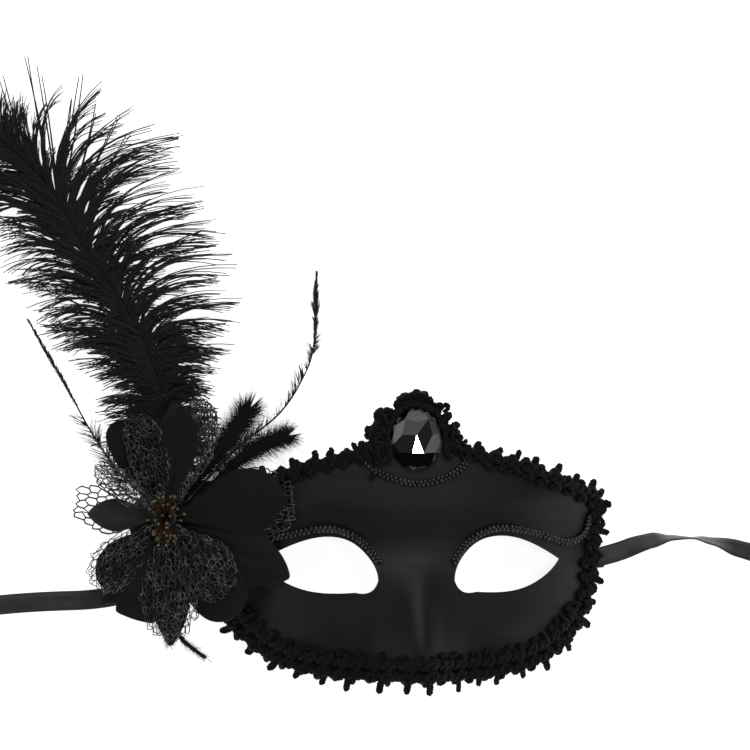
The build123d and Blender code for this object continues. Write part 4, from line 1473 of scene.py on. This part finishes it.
def spray(name, points, leaf, tufts, dice):
    """A stripped feather: a bare quill with a small leaf left at its tip and a few tufts below."""
    line = quill_line(points, node_tree(f"{name}_quill"), 1.2)
    make_shaft(name, f"{name}_quill", line, 0.62, 0.72)
    barbs = Shape()
    first, last, width = leaf
    for _ in range(LEAF_BARBS):
        share = dice.uniform(first, last)
        bulge = math.sin(math.pi * eased((share - first) / (last - first)) ** 0.8) * width
        short_barb(barbs, line, share, dice.choice((-1, 1)), 13, 2.0 + 1.7 * bulge, dice)
    for low, high, side, length in tufts:
        for _ in range(TUFT_BARBS):
            share = dice.uniform(low, high)
            short_barb(barbs, line, share, side, 38, length * dice.uniform(0.5, 1.1), dice)
    barbs.make(f"{name}_leaf", LOOKS["barbs"], "ostrich_barbs", (f"{name}_barbs",))


def short_barb(shape, line, share, side, spread, length, dice):
    """A barb of a spray, at about this angle in degrees to its quill."""
    root, along = on_quill(line, share)
    away = off_quill(along, side, math.radians(spread + dice.gauss(0, 7)))
    tip = at_least(root + away * length + UP * dice.uniform(-0.6, 0.6), 0.4)
    knee = root + away * length * 0.5 + along * length * 0.08
    barb(shape, root, knee, tip, SHORT_BARB, 4)


# First and last share of the quill with a leaf, and the leaf's width.
RIGHT_LEAF = (0.72, 0.995, 2.6)
LEFT_LEAF = (0.55, 0.99, 1.0)
# First and last share of the quill, side and length of the barbs in each tuft.
RIGHT_TUFTS = (
    (0.16, 0.36, -1, 7.0), (0.14, 0.34, 1, 5.0), (0.30, 0.52, -1, 6.5), (0.52, 0.62, -1, 8.0),
    (0.64, 0.72, -1, 5.0), (0.70, 0.76, 1, 5.0),
)
LEFT_TUFTS = ((0.05, 0.30, 1, 12.0), (0.05, 0.30, -1, 12.0), (0.2, 0.45, 1, 9.0), (0.25, 0.5, -1, 10.0))
spray("right_spray", RIGHT_SPRAY_LINE, RIGHT_LEAF, RIGHT_TUFTS, random.Random(5))
spray("left_spray", LEFT_SPRAY_LINE, LEFT_LEAF, LEFT_TUFTS, random.Random(6))

# Name of the node, line of its quill, width of its down.
FLUFFS = (
    ("marabou_feather_upper", ((-106.0, 31.5), (-95.5, 43.5), (-86.0, 56.0), (-73.0, 75.5)), 14.0),
    ("marabou_feather_right", ((-101.5, 26.5), (-76.0, 51.5), (-54.0, 62.0)), 12.0),
    ("lower_feather_long", ((-107.0, 12.0), (-109.0, -22.0), (-105.5, -33.0), (-91.5, -44.0)), 4.0),
    ("lower_feather_short", ((-114.0, 12.0), (-115.5, -21.0), (-109.5, -38.5)), 4.0),
)
FULL_DOWN = 10  # a feather with wider down than this is downy nearly to its base
DOWN_HAIRS = 3200
HALO_HAIRS = 260  # long single hairs around the down
DOWN_HAIR, HALO_HAIR = 0.16, 0.07  # their thickness


def down_feather(node, points, width, dice):
    """A downy feather: a dense soft leaf of fine hairs with a round end, on a thin quill."""
    line = quill_line(points, node_tree(node), 1.0)
    make_shaft(node, node, line, 0.45, 0.6, 6)
    hairs = Shape()
    full = width > FULL_DOWN
    first = 0.08 if full else 0.42
    for k in range(DOWN_HAIRS + HALO_HAIRS):
        share = first + (0.93 - first) * dice.random() ** 0.75
        if full:
            body = 0.42 + 0.58 * eased((share - first) / (0.6 - first))
        else:
            body = 1 - 0.8 * (share - first) / (1 - first)
        length = (0.45 + 0.55 * dice.random()) * width * 0.82 * body + 1.0
        spread, thick = abs(dice.gauss(0, 36 if full else 14)) + 8, DOWN_HAIR
        if k >= DOWN_HAIRS:
            length, spread, thick = length * 1.7 + 2, spread + 12, HALO_HAIR
        root, along = on_quill(line, share)
        away = off_quill(along, dice.choice((-1, 1)), math.radians(spread))
        away += UP * dice.uniform(-0.28, 0.28)
        spike(hairs, root, at_least(root + away * length, 0.3), thick)
    hairs.make(f"{node}_down", LOOKS["down"], "down", smooth=False)


for number, (node, points, width) in enumerate(FLUFFS):
    down_feather(node, points, width, random.Random(40 + number))

# ---- floor, lights and camera -------------------------------------------------------------------
FLOOR_SIZE = 4.0
floor_mesh = bpy.data.meshes.new("floor")
half = FLOOR_SIZE / 2
floor_corners = [(-half, -half, 0), (half, -half, 0), (half, half, 0), (-half, half, 0)]
floor_mesh.from_pydata(floor_corners, [], [(0, 1, 2, 3)])
paper = Look("white_paper", (0.93, 0.93, 0.93), 0.9, Specular_IOR_Level=0.1)
paper.set("Emission Strength", 0.85)
paper.set("Emission Color", (1.0, 1.0, 1.0))  # a light table: the paper glows evenly
paper.colour(paper.ramp(paper.noise(900, 3), (0.3, 0.925), (0.7, 0.945)))
floor_mesh.materials.append(paper.material)
put_in_scene("floor", floor_mesh)


def area_light(name, place, target, size, power):
    """A rectangular softbox that looks at its target."""
    lamp = bpy.data.lights.new(name, "AREA")
    lamp.shape = "RECTANGLE"
    lamp.size, lamp.size_y = size
    lamp.energy = power
    holder = put_in_scene(name, lamp)
    holder.location = place
    holder.rotation_euler = (target - Vector(place)).to_track_quat("-Z", "Y").to_euler()


MASK_MIDDLE = Vector((0, 0.01, 0.03))
area_light("top_softbox", (0.0, 1.1, 1.3), MASK_MIDDLE, (1.6, 0.7), 10.5)
area_light("left_softbox", (-1.5, -0.1, 1.0), MASK_MIDDLE, (0.6, 1.4), 3.5)
area_light("right_softbox", (1.4, -0.3, 0.9), MASK_MIDDLE, (0.6, 1.4), 3.5)
area_light("low_softbox", (0.1, -1.3, 0.8), MASK_MIDDLE, (1.4, 0.5), 4.2)

VIEW_TURN = math.radians(8)  # the camera looks from this far to the left
VIEW_WIDTH = 0.345  # metres across the picture at the mask
VIEW_DISTANCE = 1.6
VIEW_AIM = Vector((-0.0174, 0.0883, 0.025))
SENSOR = 36.0
camera_data = bpy.data.cameras.new("camera")
camera_data.sensor_width = SENSOR
camera_data.lens = SENSOR * VIEW_DISTANCE / VIEW_WIDTH
camera = put_in_scene("camera", camera_data)
toward = Vector((-math.sin(VIEW_TURN), 0, math.cos(VIEW_TURN)))
right = Vector((math.cos(VIEW_TURN), 0, math.sin(VIEW_TURN)))
camera.location = VIEW_AIM + toward * VIEW_DISTANCE
camera.rotation_euler = Matrix((right, Vector((0, 1, 0)), toward)).transposed().to_euler()
bpy.context.scene.camera = camera

# A small bright card where the stone's window facet mirrors it to the camera.
CARD_DISTANCE = 0.7
CARD_SIZE = (0.07, 0.07)
to_camera = (camera.location - window_place).normalized()
mirrored_way = 2 * window_normal.dot(to_camera) * window_normal - to_camera
area_light("stone_card", window_place + mirrored_way * CARD_DISTANCE, window_place, CARD_SIZE, 0.35)

world = bpy.data.worlds.new("studio")
world.use_nodes = True
background = world.node_tree.nodes["Background"]
background.inputs["Color"].default_value = (1, 1, 1, 1)
background.inputs["Strength"].default_value = 0.07
bpy.context.scene.world = world
bpy.context.scene.view_settings.view_transform = "Standard"
